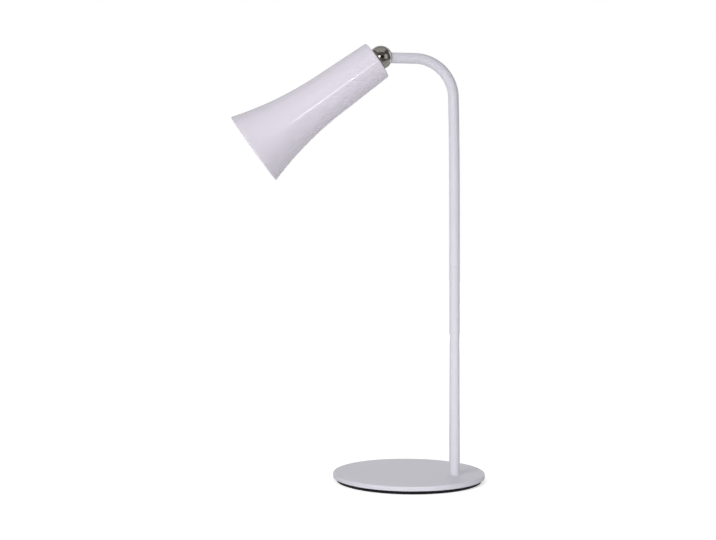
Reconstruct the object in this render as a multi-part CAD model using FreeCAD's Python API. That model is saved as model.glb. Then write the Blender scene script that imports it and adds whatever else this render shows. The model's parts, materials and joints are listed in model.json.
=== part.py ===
import FreeCAD, Part

import math
import os

from FreeCAD import Matrix, Placement, Vector

# Cordless desk lamp: a steel disc and a bent tube carry a steel ball, and a trumpet-shaped lamp
# head with a battery inside holds on to the ball by a dished ring magnet.
# Millimetres, +Z up, origin at the centre of the disc on the table. The arm points along -X.

# ---- Base ----
base_diameter = 150.0
base_thickness = 4.5
base_edge_round = 1.3           # along the top; the underside has a small chamfer
base_edge_chamfer = 0.5
pad_inset = 3.1                 # the plate's rim stands out this far past the pad
pad_thickness = 3.5
post_offset = 46.5              # post axis to the centre of the disc
arm_turn = 27.0                 # degrees that the arm is turned off the disc's centre line
bolt_diameter = 6.0
bolt_head_diameter = 11.0
bolt_head_height = 2.9
bolt_socket_across = 4.0
bolt_socket_depth = 1.8
washer_diameter = 16.0
washer_thickness = 1.2
washer_recess = 1.4             # depth of the washer's pocket in the underside of the plate
pad_window_margin = 3.5         # the hole in the pad is this much wider than the washer, all round
thread_length = 12.0            # of each threaded insert
hole_clearance = 0.25           # round a bolt in a plain hole

# ---- Post and arm ----
tube_diameter = 10.4
tube_wall = 1.0
lower_post_length = 203.5
upper_post_straight = 65.8      # from the seam to where the tube starts to lean
lean_length = 100.0             # the tube leans over gently before the bend itself
lean_angle = 1.2                # degrees, at the end of the lean
bend_radius = 38.5
arm_straight = 23.6             # from the end of the bend to where the tube meets the ball
insert_chamfer = 0.6
stem_collar_length = 3.2

# ---- Fits ----
fit_gap = 0.03                  # a pressed or screwed piece in its seat
running_gap = 0.06              # a piece that turns in its seat
case_gap = 0.25                 # inner pieces to the head's wall

# ---- Ball ----
ball_diameter = 23.0

# ---- Head: outside ----
head_pitch = 35.6               # degrees below the horizontal
head_yaw = 9.4                  # degrees off the arm, away from the post's side
switch_side_up = 35.0           # degrees that the switch faces above the horizontal
head_length = 147.6
tail_diameter = 39.2
mouth_diameter = 75.0
cone_length = 58.0              # the straight part, before the flare
cone_draft = 0.040              # radius gained for each millimetre of the straight part
head_wall = 2.2
tail_edge_round = 1.3
lip_land = 0.5                  # share of the wall left flat at the mouth's lip
ball_standoff = 4.3             # centre of the ball to the tail's rim

# ---- Head: tail cap and magnet ----
tail_flange = 1.6
tail_opening_diameter = 31.0
cap_sink = 0.3                  # face of the cap behind the rim
cap_depth = 12.4
cap_wall = 1.6
cap_floor = 1.8
dish_gap = 0.6                  # dish to the ball
dish_chamfer = 0.8
magnet_diameter = 18.0
magnet_bore = 7.0
magnet_thickness = 5.5
magnet_depth = 3.6              # face of the magnet behind the rim
keeper_thickness = 1.5

# ---- Head: chassis and electrics ----
plate_thickness = 1.6
cell_diameter = 18.2
cell_length = 65.0
cell_cap_diameter = 6.0
cell_cap_height = 1.2
cell_edge = 0.8
contact_room = 2.4              # at each end of the cell
contact_width = 8.0
contact_sheet = 0.4
cradle_gap = 0.3
cradle_wall = 1.5
cradle_opening = 120.0          # degrees left open for the cell to drop in
rail_width = 2.4
board_height = 12.4             # underside of the control board off the head's axis
board_thickness = 1.2
board_width = 20.0
board_length = 62.0
board_setback = 1.0             # rear end of the board from the rear end of the cell
screw_diameter = 1.8
screw_head_diameter = 3.4
screw_head_height = 1.0
screw_length = 5.0
port_distance = 34.0            # from the tail's rim
port_length = 8.9
port_width = 3.2
port_sheet = 0.35
port_tongue_thickness = 1.0
port_sink = 0.8                 # mouth of the port under the head's skin
slot_gap = 0.2
strut_diameter = 5.2
strut_circle_diameter = 38.0
strut_angle = 60.0              # degrees from the switch side to the first strut
rib_width = 1.6                 # two ribs in the shell that keep the chassis from turning
rib_height = 1.2
rib_gap = 0.2
chip_size = 5.0
chip_height = 1.0
inductor_diameter = 5.0
inductor_height = 2.4
board_part_spacing = 9.0
wire_diameter = 1.2
wire_pitch = 3.0
wire_bend_share = 0.45          # of the shorter run beside a bend

# ---- Head: switch ----
button_distance = 62.0          # from the tail's rim
button_diameter = 10.0
button_gap = 0.25
button_proud = 0.9
button_chamfer = 0.5
button_flange = 1.2             # how far the flange reaches under the wall
button_flange_thickness = 1.0
button_flange_gap = 0.15
button_travel = 0.6
switch_width = 6.0
switch_height = 3.0
plunger_diameter = 3.2
plunger_proud = 1.0
plunger_gap = 0.1

# ---- Head: light ----
mouth_depth = 15.0              # rim of the mouth to the bezel
bezel_thickness = 2.6
bezel_width = 4.0
bezel_chamfer = 0.8
bead_height = 0.8               # three beads in the shell that the bezel snaps in behind
bead_length = 1.6
bead_width = 9.0
bead_count = 3
diffuser_thickness = 2.0
diffuser_chamfer = 0.6
mixing_depth = 10.4             # LED board to diffuser
reflector_wall = 1.0
reflector_foot_diameter = 44.0
led_board_thickness = 1.6
spreader_thickness = 2.0
led_size = 2.8
led_height = 0.7
inner_led_circle = 16.0         # diameter
inner_led_count = 6
outer_led_circle = 32.0
outer_led_count = 12
led_screw_count = 3

# ---- Worked out from the above ----
tube_radius = tube_diameter / 2
tube_bore = tube_radius - tube_wall
bolt_radius = bolt_diameter / 2
ball_radius = ball_diameter / 2
pad_radius = base_diameter / 2 - pad_inset
base_top = pad_thickness + base_thickness
post_x = post_offset * math.cos(math.radians(arm_turn))
post_y = -post_offset * math.sin(math.radians(arm_turn))
seam_z = base_top + lower_post_length
lean_z = seam_z + upper_post_straight
lean_radius = lean_length / math.radians(lean_angle)
lean_centre = Vector(post_x - lean_radius, post_y, lean_z)
bend_reach = lean_radius - bend_radius      # centre of the lean's arc to the centre of the bend's
bend_centre = lean_centre + Vector(
    bend_reach * math.cos(math.radians(lean_angle)), 0, bend_reach * math.sin(math.radians(lean_angle)))
arm_z = bend_centre.z + bend_radius
ball_reach = math.sqrt(ball_radius ** 2 - tube_radius ** 2)
ball_centre = Vector(bend_centre.x - arm_straight - ball_reach, post_y, arm_z)

tail_radius = tail_diameter / 2
mouth_radius = mouth_diameter / 2
lip_distance = head_length - head_wall / 2
cone_end_radius = tail_radius + cone_draft * cone_length
cap_back = ball_standoff + cap_depth
chassis_start = cap_back + case_gap
cell_start = chassis_start + plate_thickness + contact_room
cell_end = cell_start + cell_length
board_start = cell_start + board_setback
board_end = board_start + board_length
front_plate_start = max(cell_end + cell_cap_height + contact_room, board_end + 2 * wire_diameter)
front_plate_end = front_plate_start + plate_thickness
board_top = board_height + board_thickness
bezel_start = ball_standoff + head_length - mouth_depth - bezel_thickness
diffuser_start = bezel_start - diffuser_thickness
led_board_top = diffuser_start - mixing_depth
led_board_start = led_board_top - led_board_thickness
spreader_start = led_board_start - spreader_thickness
port_z = ball_standoff + port_distance
button_z = ball_standoff + button_distance

up = Vector(0, 0, 1)


# ---- The head's skin ----

def flare_circle():
    """Centre (distance, radius) and radius of the arc that carries the cone on to the mouth."""
    run = lip_distance - cone_length
    rise = mouth_radius - cone_end_radius
    length = math.hypot(1.0, cone_draft)
    normal = (-cone_draft / length, 1.0 / length)
    towards = run * normal[0] + rise * normal[1]
    radius = (run ** 2 + rise ** 2) / (2 * towards)
    return (cone_length + radius * normal[0], cone_end_radius + radius * normal[1]), radius


def skin_radius(z, depth=0.0):
    """Radius of the head at height z on its axis, for a surface this deep under the skin."""
    distance = z - ball_standoff
    centre, radius = flare_circle()
    length = math.hypot(1.0, cone_draft)
    if distance <= cone_length + depth * cone_draft / length:
        return tail_radius + cone_draft * distance - depth * length
    return centre[1] - math.sqrt((radius + depth) ** 2 - (distance - centre[0]) ** 2)


def skin_point(distance, depth):
    """(radius, z) of the point this deep under the skin, square to it, in the flare."""
    centre, radius = flare_circle()
    surface = skin_radius(ball_standoff + distance)
    share = (radius + depth) / radius
    return (centre[1] + (surface - centre[1]) * share,
            ball_standoff + centre[0] + (distance - centre[0]) * share)


def lip_point(distance, depth):
    """(radius, z) half a wall past skin_point, along the flare."""
    centre, radius = flare_circle()
    surface = skin_radius(ball_standoff + distance)
    point = skin_point(distance, depth)
    reach = head_wall / 2 / radius
    return (point[0] + (distance - centre[0]) * reach, point[1] + (centre[1] - surface) * reach)


def wall_fit(start, end):
    """Largest radius of a disc from start to end that keeps the case gap to the head's wall."""
    return min(skin_radius(start, head_wall), skin_radius(end, head_wall)) - case_gap


# ---- Shape helpers ----

def outline(start, *steps):
    """Closed wire in the XZ plane through (x, z) points. A step of two points is an arc."""
    edges = []
    here = Vector(start[0], 0, start[1])
    for step in steps:
        if isinstance(step[0], tuple):
            through = Vector(step[0][0], 0, step[0][1])
            there = Vector(step[1][0], 0, step[1][1])
            edges.append(Part.Arc(here, through, there).toShape())
        else:
            there = Vector(step[0], 0, step[1])
            edges.append(Part.LineSegment(here, there).toShape())
        here = there
    edges.append(Part.LineSegment(here, Vector(start[0], 0, start[1])).toShape())
    return Part.Wire(edges)


def arc(centre, radius, from_degrees, to_degrees):
    """An outline's step along a circle: its middle and its end."""
    middle = (from_degrees + to_degrees) / 2
    return tuple(
        (centre[0] + radius * math.cos(math.radians(angle)),
         centre[1] + radius * math.sin(math.radians(angle)))
        for angle in (middle, to_degrees))


def turned(start, *steps):
    """Solid turned about Z from an outline of (radius, z) points."""
    solid = Part.Face(outline(start, *steps)).revolve(Vector(), up, 360)
    if solid.Volume < 0:
        solid.reverse()
    return solid


def rod(radius, bottom, top):
    return Part.makeCylinder(radius, top - bottom, Vector(0, 0, bottom))


def pipe(outer, inner, bottom, top):
    return rod(outer, bottom, top).cut(rod(inner, bottom, top))


def block(low, high):
    size = [b - a for a, b in zip(low, high)]
    return Part.makeBox(*size, Vector(*low))


def across(radius, x0, x1, y, z):
    """Cylinder along X, from x0 to x1."""
    return Part.makeCylinder(radius, x1 - x0, Vector(x0, y, z), Vector(1, 0, 0))


def moved(shape, placement):
    copy = shape.copy()
    copy.Placement = placement.multiply(copy.Placement)
    return copy


def shifted(shape, x=0.0, y=0.0, z=0.0):
    return moved(shape, Placement(Vector(x, y, z), FreeCAD.Rotation()))


def spaced(shape, count, start=0.0):
    """Copies evenly round Z."""
    step = 360 / count
    return [moved(shape, Placement(Vector(), FreeCAD.Rotation(up, start + step * index)))
            for index in range(count)]


def joined(first, *others):
    shape = first.fuse(list(others))
    return shape.removeSplitter()


def rounded_slot(length, width, x0, x1, z):
    """Bar along X whose section is a slot with round ends, long along Z."""
    radius = width / 2
    half = length / 2 - radius
    bar = block((x0, -radius, z - half), (x1, radius, z + half))
    return joined(bar, across(radius, x0, x1, 0, z - half), across(radius, x0, x1, 0, z + half))


def hexagon(across_flats, bottom, top):
    corner = across_flats / math.sqrt(3)
    points = [Vector(corner * math.cos(math.radians(a)), corner * math.sin(math.radians(a)), bottom)
              for a in range(0, 361, 60)]
    return Part.Face(Part.makePolygon(points)).extrude(Vector(0, 0, top - bottom))


def ball_space(gap):
    return Part.makeSphere(ball_radius + gap)


def wire_run(points, radius):
    """Round wire along straight runs joined by arcs."""
    edges = []
    here = points[0]
    for before, corner, after in zip(points, points[1:], points[2:]):
        back = (before - corner).normalize()
        on = (after - corner).normalize()
        turn = math.pi - back.getAngle(on)
        shorter = min((before - corner).Length, (after - corner).Length)
        reach = wire_bend_share * shorter
        bend = reach / math.tan(turn / 2)
        start = corner + back * reach
        end = corner + on * reach
        inward = (back + on).normalize()
        middle = corner + inward * (bend / math.cos(turn / 2) - bend)
        edges.append(Part.LineSegment(here, start).toShape())
        edges.append(Part.Arc(start, middle, end).toShape())
        here = end
    edges.append(Part.LineSegment(here, points[-1]).toShape())
    path = Part.Wire(edges)
    section = Part.Wire(Part.makeCircle(radius, points[0], points[1] - points[0]))
    return path.makePipeShell([section], True, False)


# ---- Where things stand ----

def at_post(shape):
    return shifted(shape, post_x, post_y)


def arm_placement():
    """From a frame at the ball's centre, +Z into the arm's tube, to the lamp's frame."""
    return Placement(ball_centre, FreeCAD.Rotation(up, Vector(1, 0, 0)))


def head_axis():
    pitch = math.radians(head_pitch)
    yaw = math.radians(head_yaw)
    return Vector(-math.cos(pitch) * math.cos(yaw), math.cos(pitch) * math.sin(yaw), -math.sin(pitch))


def head_placement():
    """From the head's frame, at the ball's centre, +Z to the mouth, +X through the switch."""
    z_axis = head_axis()
    tilt = math.radians(switch_side_up)
    wish = Vector(0, math.cos(tilt), math.sin(tilt))
    x_axis = (wish - z_axis * wish.dot(z_axis)).normalize()
    y_axis = z_axis.cross(x_axis)
    return Placement(Matrix(
        x_axis.x, y_axis.x, z_axis.x, ball_centre.x,
        x_axis.y, y_axis.y, z_axis.y, ball_centre.y,
        x_axis.z, y_axis.z, z_axis.z, ball_centre.z,
        0, 0, 0, 1))


# ---- Base ----

def base_plate():
    radius = base_diameter / 2
    edge = base_edge_round
    lead = base_edge_chamfer
    low = pad_thickness
    plate = turned(
        (0, low), (radius - lead, low), (radius, low + lead),
        (radius, base_top - edge), arc((radius - edge, base_top - edge), edge, 0, 90),
        (0, base_top))
    hole = rod(bolt_radius + hole_clearance, low, base_top)
    pocket = rod(washer_diameter / 2 + hole_clearance, low, low + washer_recess)
    return plate.cut(at_post(hole.fuse(pocket)))


def base_pad():
    window = rod(washer_diameter / 2 + pad_window_margin, 0, pad_thickness)
    return rod(pad_radius, 0, pad_thickness).cut(at_post(window))


def bolt_washer():
    top = pad_thickness + washer_recess
    return at_post(pipe(washer_diameter / 2, bolt_radius + hole_clearance, top - washer_thickness, top))


def post_bolt():
    """Socket-headed bolt through the plate into the foot of the post."""
    head_top = pad_thickness + washer_recess - washer_thickness
    head_bottom = head_top - bolt_head_height
    radius = bolt_head_diameter / 2
    soft = bolt_head_height / 3
    head = turned(
        (0, head_bottom), (radius - soft, head_bottom), (radius, head_bottom + soft),
        (radius, head_top), (0, head_top))
    shank = rod(bolt_radius, head_top, base_top + thread_length)
    socket = hexagon(bolt_socket_across, head_bottom, head_bottom + bolt_socket_depth)
    return at_post(joined(head, shank).cut(socket))


# ---- Post and arm ----

def threaded_insert(bottom):
    """Turned plug pressed into a tube's end, bored for a bolt or stud."""
    outer = tube_bore - fit_gap
    inner = bolt_radius + running_gap
    lead = insert_chamfer
    top = bottom + thread_length
    return turned(
        (inner, bottom), (outer - lead, bottom), (outer, bottom + lead), (outer, top - lead),
        (outer - lead, top), (inner, top))


def foot_insert():
    return at_post(threaded_insert(base_top))


def lower_post_insert():
    return at_post(threaded_insert(seam_z - thread_length))


def upper_post_insert():
    return at_post(threaded_insert(seam_z))


def joint_stud():
    """Headless stud that draws the two tubes together."""
    reach = thread_length - insert_chamfer
    lead = insert_chamfer
    low = seam_z - reach
    high = seam_z + reach
    stud = turned(
        (0, low), (bolt_radius - lead, low), (bolt_radius, low + lead), (bolt_radius, high - lead),
        (bolt_radius - lead, high), (0, high))
    return at_post(stud)


def lower_post():
    return at_post(pipe(tube_radius, tube_bore, base_top, seam_z))


def upper_post():
    """Straight tube that leans over into its bend, and a short arm, coped to the ball."""
    bend_axis = Vector(0, -1, 0)
    ring = Part.Face(Part.Wire(Part.makeCircle(tube_radius)))
    ring = ring.cut(Part.Face(Part.Wire(Part.makeCircle(tube_bore))))
    straight = shifted(ring, post_x, post_y, seam_z).extrude(Vector(0, 0, upper_post_straight))
    ring = shifted(ring, post_x, post_y, lean_z)
    lean = ring.revolve(lean_centre, bend_axis, lean_angle)
    ring = moved(ring, Placement(Vector(), FreeCAD.Rotation(bend_axis, lean_angle), lean_centre))
    bend = ring.revolve(bend_centre, bend_axis, 90 - lean_angle)
    ring = moved(ring, Placement(Vector(), FreeCAD.Rotation(bend_axis, 90 - lean_angle), bend_centre))
    arm = ring.extrude(Vector(-(arm_straight + ball_reach), 0, 0))
    tube = joined(straight, lean, bend, arm)
    return tube.cut(shifted(ball_space(running_gap), *ball_centre))


def arm_insert():
    start = ball_radius + stem_collar_length + running_gap
    return moved(threaded_insert(start), arm_placement())


def ball_stem():
    """Threaded stem behind the ball, with a collar dished to the ball."""
    collar = tube_bore - 2 * running_gap
    shoulder = ball_radius + stem_collar_length
    end = shoulder + thread_length
    lead = insert_chamfer
    stem = turned(
        (0, ball_reach), (collar, ball_reach), (collar, shoulder), (bolt_radius, shoulder),
        (bolt_radius, end - lead), (bolt_radius - lead, end), (0, end))
    return moved(stem.cut(ball_space(running_gap)), arm_placement())


def steel_ball():
    return shifted(Part.makeSphere(ball_radius), *ball_centre)


# ---- Head: shell, tail cap and magnet ----

def shell_body():
    """Trumpet: a drafted cone that runs on into one long flare, with an inner tail flange."""
    tail = ball_standoff
    edge = tail_edge_round
    edge_radius = skin_radius(tail + edge)
    cone_end = tail + cone_length
    lip = tail + lip_distance
    outer_middle = (cone_end + lip) / 2
    inner_lip = skin_point(lip_distance, head_wall)
    outer_tip = lip_point(lip_distance, head_wall * lip_land / 2)
    inner_tip = lip_point(lip_distance, head_wall * (1 - lip_land / 2))
    inner_cone_end = cone_end + head_wall * cone_draft / math.hypot(1.0, cone_draft)
    inner_middle = (inner_cone_end + inner_lip[1]) / 2
    flange_top = tail + tail_flange
    opening = tail_opening_diameter / 2
    return turned(
        (opening, tail), (edge_radius - edge, tail),
        arc((edge_radius - edge, tail + edge), edge, -90, 0),
        (cone_end_radius, cone_end),
        ((skin_radius(outer_middle), outer_middle), (skin_radius(lip), lip)),
        outer_tip, inner_tip, inner_lip,
        ((skin_radius(inner_middle, head_wall), inner_middle),
         (skin_radius(inner_cone_end, head_wall), inner_cone_end)),
        (skin_radius(flange_top, head_wall), flange_top),
        (opening, flange_top))


def core(depth, start, end):
    """All of the head that lies deeper than this under its skin, across the start of the flare."""
    turn = ball_standoff + cone_length + depth * cone_draft / math.hypot(1.0, cone_draft)
    middle = (turn + end) / 2
    return turned(
        (0, start), (skin_radius(start, depth), start), (skin_radius(turn, depth), turn),
        ((skin_radius(middle, depth), middle), (skin_radius(end, depth), end)), (0, end))


def shell_ribs():
    """Two ribs along the inside of the shell."""
    start = cap_back + case_gap
    end = spreader_start - case_gap
    band = core(head_wall - fit_gap, start, end).cut(core(head_wall + rib_height, start, end))
    bar = block((-rib_width / 2, 0, start), (rib_width / 2, mouth_radius, end))
    return [band.common(rib) for rib in spaced(bar, 2)]


def snap_beads():
    """Beads just inside the bezel's place, each a short length of a ridged ring."""
    start = bezel_start + bezel_thickness + fit_gap
    end = start + bead_length
    middle = (start + end) / 2
    ridge = turned(
        (skin_radius(start, head_wall - fit_gap), start),
        (skin_radius(middle, head_wall) - bead_height, middle),
        (skin_radius(end, head_wall - fit_gap), end))
    bar = block((-bead_width / 2, 0, start), (bead_width / 2, mouth_radius, end))
    return [ridge.common(bead) for bead in spaced(bar, bead_count)]


def rib_notches(start, end):
    """Room for the shell's ribs in a plate of the chassis."""
    half = rib_width / 2 + rib_gap
    depth = skin_radius(start, head_wall + rib_height) - rib_gap
    return spaced(block((-half, depth, start), (half, mouth_radius, end)), 2)


def head_shell():
    inside = board_top
    outside = skin_radius(button_z) + mouth_radius
    slot = rounded_slot(port_length + 2 * slot_gap, port_width + 2 * slot_gap, inside, outside, port_z)
    hole = across(button_diameter / 2 + button_gap, inside, outside, 0, button_z)
    return joined(shell_body(), *shell_ribs(), *snap_beads()).cut(slot).cut(hole)


def tail_cap():
    """Plug behind the tail's flange, with the ball's dish and the magnet's pocket."""
    face = ball_standoff + cap_sink
    dish = ball_radius + dish_gap
    pocket = magnet_diameter / 2 + running_gap
    pocket_top = math.sqrt(dish ** 2 - pocket ** 2)
    dish_edge = face + dish_chamfer
    dish_edge_radius = math.sqrt(dish ** 2 - dish_edge ** 2)
    middle_angle = (math.atan2(pocket_top, pocket) + math.atan2(dish_edge, dish_edge_radius)) / 2
    middle = (dish * math.cos(middle_angle), dish * math.sin(middle_angle))
    nose = tail_opening_diameter / 2 - fit_gap
    shoulder = ball_standoff + tail_flange + fit_gap
    body = wall_fit(shoulder, cap_back)
    floor = ball_standoff + magnet_depth + magnet_thickness + keeper_thickness + running_gap
    floor_back = floor + cap_floor
    web = shoulder + cap_wall
    return turned(
        (0, floor), (pocket, floor), (pocket, pocket_top),
        (middle, (dish_edge_radius, dish_edge)),
        (dish_edge_radius + dish_chamfer, face), (nose, face), (nose, shoulder), (body, shoulder),
        (body, cap_back), (body - cap_wall, cap_back), (body - cap_wall, web),
        (pocket + cap_wall, web), (pocket + cap_wall, floor_back), (0, floor_back))


def magnet():
    """Ring magnet whose face is dished to the ball."""
    front = ball_standoff + magnet_depth
    ring = pipe(magnet_diameter / 2, magnet_bore / 2, front, front + magnet_thickness)
    return ring.cut(ball_space(running_gap))


def magnet_keeper():
    """Steel plate that closes the magnet's field, with a spigot in its bore."""
    start = ball_standoff + magnet_depth + magnet_thickness
    plate = rod(magnet_diameter / 2, start, start + keeper_thickness)
    spigot = rod(magnet_bore / 2 - fit_gap, start - keeper_thickness, start)
    return joined(plate, spigot)


# ---- Head: chassis and electrics ----

def on_led_screws(shape):
    """Copies of a shape on the axis, one at each screw of the LED board."""
    return spaced(shifted(shape, strut_circle_diameter / 2), led_screw_count, strut_angle)


def board_screw_spots():
    reach = board_width / 2 - rail_width
    ends = (board_start + rail_width, board_end - rail_width)
    return [(side * reach, z) for side in (-1, 1) for z in ends]


def chassis():
    """Moulded frame: two round plates, a cradle for the cell, board rails and three struts."""
    rear_end = chassis_start + plate_thickness
    rear = rod(wall_fit(chassis_start, rear_end), chassis_start, rear_end)
    front = rod(wall_fit(front_plate_start, front_plate_end), front_plate_start, front_plate_end)
    inner = cell_diameter / 2 + cradle_gap
    outer = inner + cradle_wall
    cradle = rod(outer, cell_start, cell_end)
    rail_middle = board_width / 2 - rail_width
    rails = [block((0, side * rail_middle - rail_width / 2, rear_end),
                   (board_height, side * rail_middle + rail_width / 2, front_plate_start))
             for side in (-1, 1)]
    strut = rod(strut_diameter / 2, front_plate_start, spreader_start)
    struts = on_led_screws(strut)
    space = rod(inner, rear_end, front_plate_start)
    half_gap = outer * math.sin(math.radians(cradle_opening / 2))
    mouth = block((-outer - 1, -half_gap, rear_end), (0, half_gap, front_plate_start))
    notch = block((board_height, -wire_pitch, front_plate_start),
                  (board_top + wire_pitch, wire_pitch, front_plate_end))
    frame = joined(rear, front, cradle, *rails, *struts).cut(space).cut(mouth).cut(notch)
    for cutter in rib_notches(chassis_start, rear_end) + rib_notches(front_plate_start, front_plate_end):
        frame = frame.cut(cutter)
    for y, z in board_screw_spots():
        frame = frame.cut(across(screw_diameter / 2, board_top - screw_length, board_height, y, z))
    pilot = rod(screw_diameter / 2, spreader_start - screw_length, spreader_start)
    for hole in on_led_screws(pilot):
        frame = frame.cut(hole)
    return frame


def battery_cell():
    radius = cell_diameter / 2
    edge = cell_edge
    can = turned(
        (0, cell_start), (radius - edge, cell_start), (radius, cell_start + edge),
        (radius, cell_end - edge), (radius - edge, cell_end), (0, cell_end))
    return joined(can, rod(cell_cap_diameter / 2, cell_end, cell_end + cell_cap_height))


def leaf_contact(seat, tip):
    """Bent strip from its seat on a plate to the cell, drawn in the XZ plane."""
    half = contact_width / 2
    sheet = contact_sheet if tip > seat else -contact_sheet
    strip = outline(
        (-half, seat), (half, seat), (half, seat + sheet),
        (-half + contact_sheet, seat + sheet), (0, tip - sheet), (half / 2, tip - 2 * sheet),
        (half / 2, tip - sheet), (0, tip), (-half, seat + sheet))
    face = Part.Face(strip)
    solid = face.extrude(Vector(0, contact_width / 2, 0))
    return shifted(solid, y=-contact_width / 4)


def battery_contacts():
    rear = leaf_contact(chassis_start + plate_thickness, cell_start - fit_gap)
    front = leaf_contact(front_plate_start, cell_end + cell_cap_height + fit_gap)
    return Part.makeCompound([rear, front])


def control_board():
    half = board_width / 2
    board = block((board_height, -half, board_start), (board_top, half, board_end))
    for y, z in board_screw_spots():
        board = board.cut(across(screw_diameter / 2 + fit_gap, board_height, board_top, y, z))
    return board


def board_parts():
    """Charging chip, inductor and two capacitors between the port and the switch."""
    middle = (port_z + button_z) / 2
    half = chip_size / 2
    low = -board_part_spacing / 2
    chip = block(
        (board_top, low - half, middle - half), (board_top + chip_height, low + half, middle + half))
    inductor = across(inductor_diameter / 2, board_top, board_top + inductor_height, -low, middle)
    small = block((board_top, -half / 2, 0), (board_top + chip_height, half / 2, half / 2))
    lift = half + chip_height
    capacitors = [shifted(small, y=low, z=middle + lift), shifted(small, y=low, z=middle - lift - half / 2)]
    return Part.makeCompound([chip, inductor] + capacitors)


def pan_screw(shank):
    """Screw along Z: its head above z = 0 and its shank below."""
    head = rod(screw_head_diameter / 2, 0, screw_head_height)
    return joined(head, rod(screw_diameter / 2 - fit_gap, -shank, 0))


def board_screws():
    turn_to_x = FreeCAD.Rotation(up, Vector(1, 0, 0))
    screw = pan_screw(screw_length)
    return Part.makeCompound([moved(screw, Placement(Vector(board_top, y, z), turn_to_x))
                              for y, z in board_screw_spots()])


def charge_port():
    """Metal socket standing on the board, its mouth just under the head's skin."""
    top = skin_radius(port_z) - port_sink
    can = rounded_slot(port_length, port_width, board_top, top, port_z)
    length = port_length - 2 * port_sheet
    width = port_width - 2 * port_sheet
    can = can.cut(rounded_slot(length, width, board_top + port_sheet, top, port_z))
    half = port_tongue_thickness / 2
    reach = length / 3
    tongue = block((board_top, -half, port_z - reach), (top - port_sink, half, port_z + reach))
    return joined(can, tongue)


def switch_body():
    half = switch_width / 2
    body = block((board_top, -half, button_z - half), (board_top + switch_height, half, button_z + half))
    well = across(plunger_diameter / 2 + plunger_gap, board_top + plunger_gap,
                  board_top + switch_height, 0, button_z)
    return body.cut(well)


def plunger_top():
    return board_top + switch_height + plunger_proud


def switch_plunger():
    bottom = board_top + 2 * plunger_gap + button_travel
    return across(plunger_diameter / 2, bottom, plunger_top(), 0, button_z)


def button_cap():
    """Button through the wall, with a flange that keeps it in."""
    radius = button_diameter / 2
    flange = radius + button_flange
    wall = skin_radius(button_z - flange, head_wall)
    flange_top = math.sqrt(wall ** 2 - flange ** 2) - button_flange_gap
    flange_bottom = flange_top - button_flange_thickness
    top = skin_radius(button_z) + button_proud
    edge = button_chamfer
    cap = turned(
        (0, plunger_top() + fit_gap), (plunger_diameter / 2, plunger_top() + fit_gap),
        (plunger_diameter / 2, flange_bottom), (flange, flange_bottom), (flange, flange_top),
        (radius, flange_top), (radius, top - edge), (radius - edge, top), (0, top))
    turn_to_x = FreeCAD.Rotation(up, Vector(1, 0, 0))
    return moved(cap, Placement(Vector(0, 0, button_z), turn_to_x))


def battery_leads():
    """Two wires from the cell's contacts to the board's ends, one at each end."""
    radius = wire_diameter / 2
    height = board_height + board_thickness / 2
    runs = []
    for plate_face, way in ((chassis_start + plate_thickness, 1), (front_plate_start, -1)):
        z = plate_face + way * (radius + fit_gap)
        end = board_start if way > 0 else board_end
        runs.append(wire_run([
            Vector(contact_width / 2, 0, z), Vector(height, 0, z),
            Vector(height, 0, end)], radius))
    return Part.makeCompound(runs)


def led_leads():
    """Pair of wires from the board to the LED board's back."""
    radius = wire_diameter / 2
    runs = []
    for side in (-1, 1):
        y = side * wire_pitch / 2
        runs.append(wire_run([
            Vector(board_top + radius, y, board_end - wire_pitch),
            Vector(board_top + radius, y, front_plate_end + wire_pitch),
            Vector(strut_circle_diameter / 4, y, spreader_start - wire_pitch),
            Vector(strut_circle_diameter / 4, y, led_board_start)], radius))
    return Part.makeCompound(runs)


# ---- Head: light ----

def heat_spreader():
    plate = rod(wall_fit(spreader_start, led_board_start), spreader_start, led_board_start)
    hole = rod(screw_diameter / 2 + hole_clearance, spreader_start, led_board_start)
    window = shifted(rod(wire_pitch, spreader_start, led_board_start), strut_circle_diameter / 4)
    for cutter in on_led_screws(hole) + [window]:
        plate = plate.cut(cutter)
    return plate


def led_board():
    board = rod(reflector_foot_diameter / 2 + reflector_wall, led_board_start, led_board_top)
    hole = rod(screw_diameter / 2 + hole_clearance, led_board_start, led_board_top)
    for cutter in on_led_screws(hole):
        board = board.cut(cutter)
    return board


def led_screws():
    screw = shifted(pan_screw(screw_length), z=led_board_top)
    return Part.makeCompound(on_led_screws(screw))


def leds():
    half = led_size / 2
    chips = []
    for circle, count in ((inner_led_circle, inner_led_count), (outer_led_circle, outer_led_count)):
        chip = block((-half, -half, led_board_top), (half, half, led_board_top + led_height))
        chips += spaced(shifted(chip, circle / 2), count, 180 / count)
    return Part.makeCompound(chips)


def reflector():
    """White funnel between the LED board and the diffuser."""
    foot = reflector_foot_diameter / 2
    top = wall_fit(diffuser_start - fit_gap, diffuser_start)
    wall = reflector_wall
    low = led_board_top + fit_gap
    high = diffuser_start - fit_gap
    return turned((foot, low), (foot + wall, low), (top, high), (top - wall, high))


def diffuser():
    """Opal disc, its edge chamfered towards the mouth."""
    radius = wall_fit(diffuser_start, bezel_start)
    face = bezel_start - fit_gap
    edge = diffuser_chamfer
    return turned(
        (0, diffuser_start), (radius, diffuser_start), (radius, face - edge),
        (radius - edge, face), (0, face))


def bezel_ring():
    """Ring that snaps in before the diffuser and follows the flare."""
    end = bezel_start + bezel_thickness
    outer_low = skin_radius(bezel_start, head_wall) - case_gap
    outer_high = skin_radius(end, head_wall) - case_gap
    inner = outer_low - bezel_width + case_gap
    edge = bezel_chamfer
    return turned(
        (inner, bezel_start), (outer_low, bezel_start), (outer_high, end), (inner + edge, end),
        (inner, end - edge))


# ---- All of it ----

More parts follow.
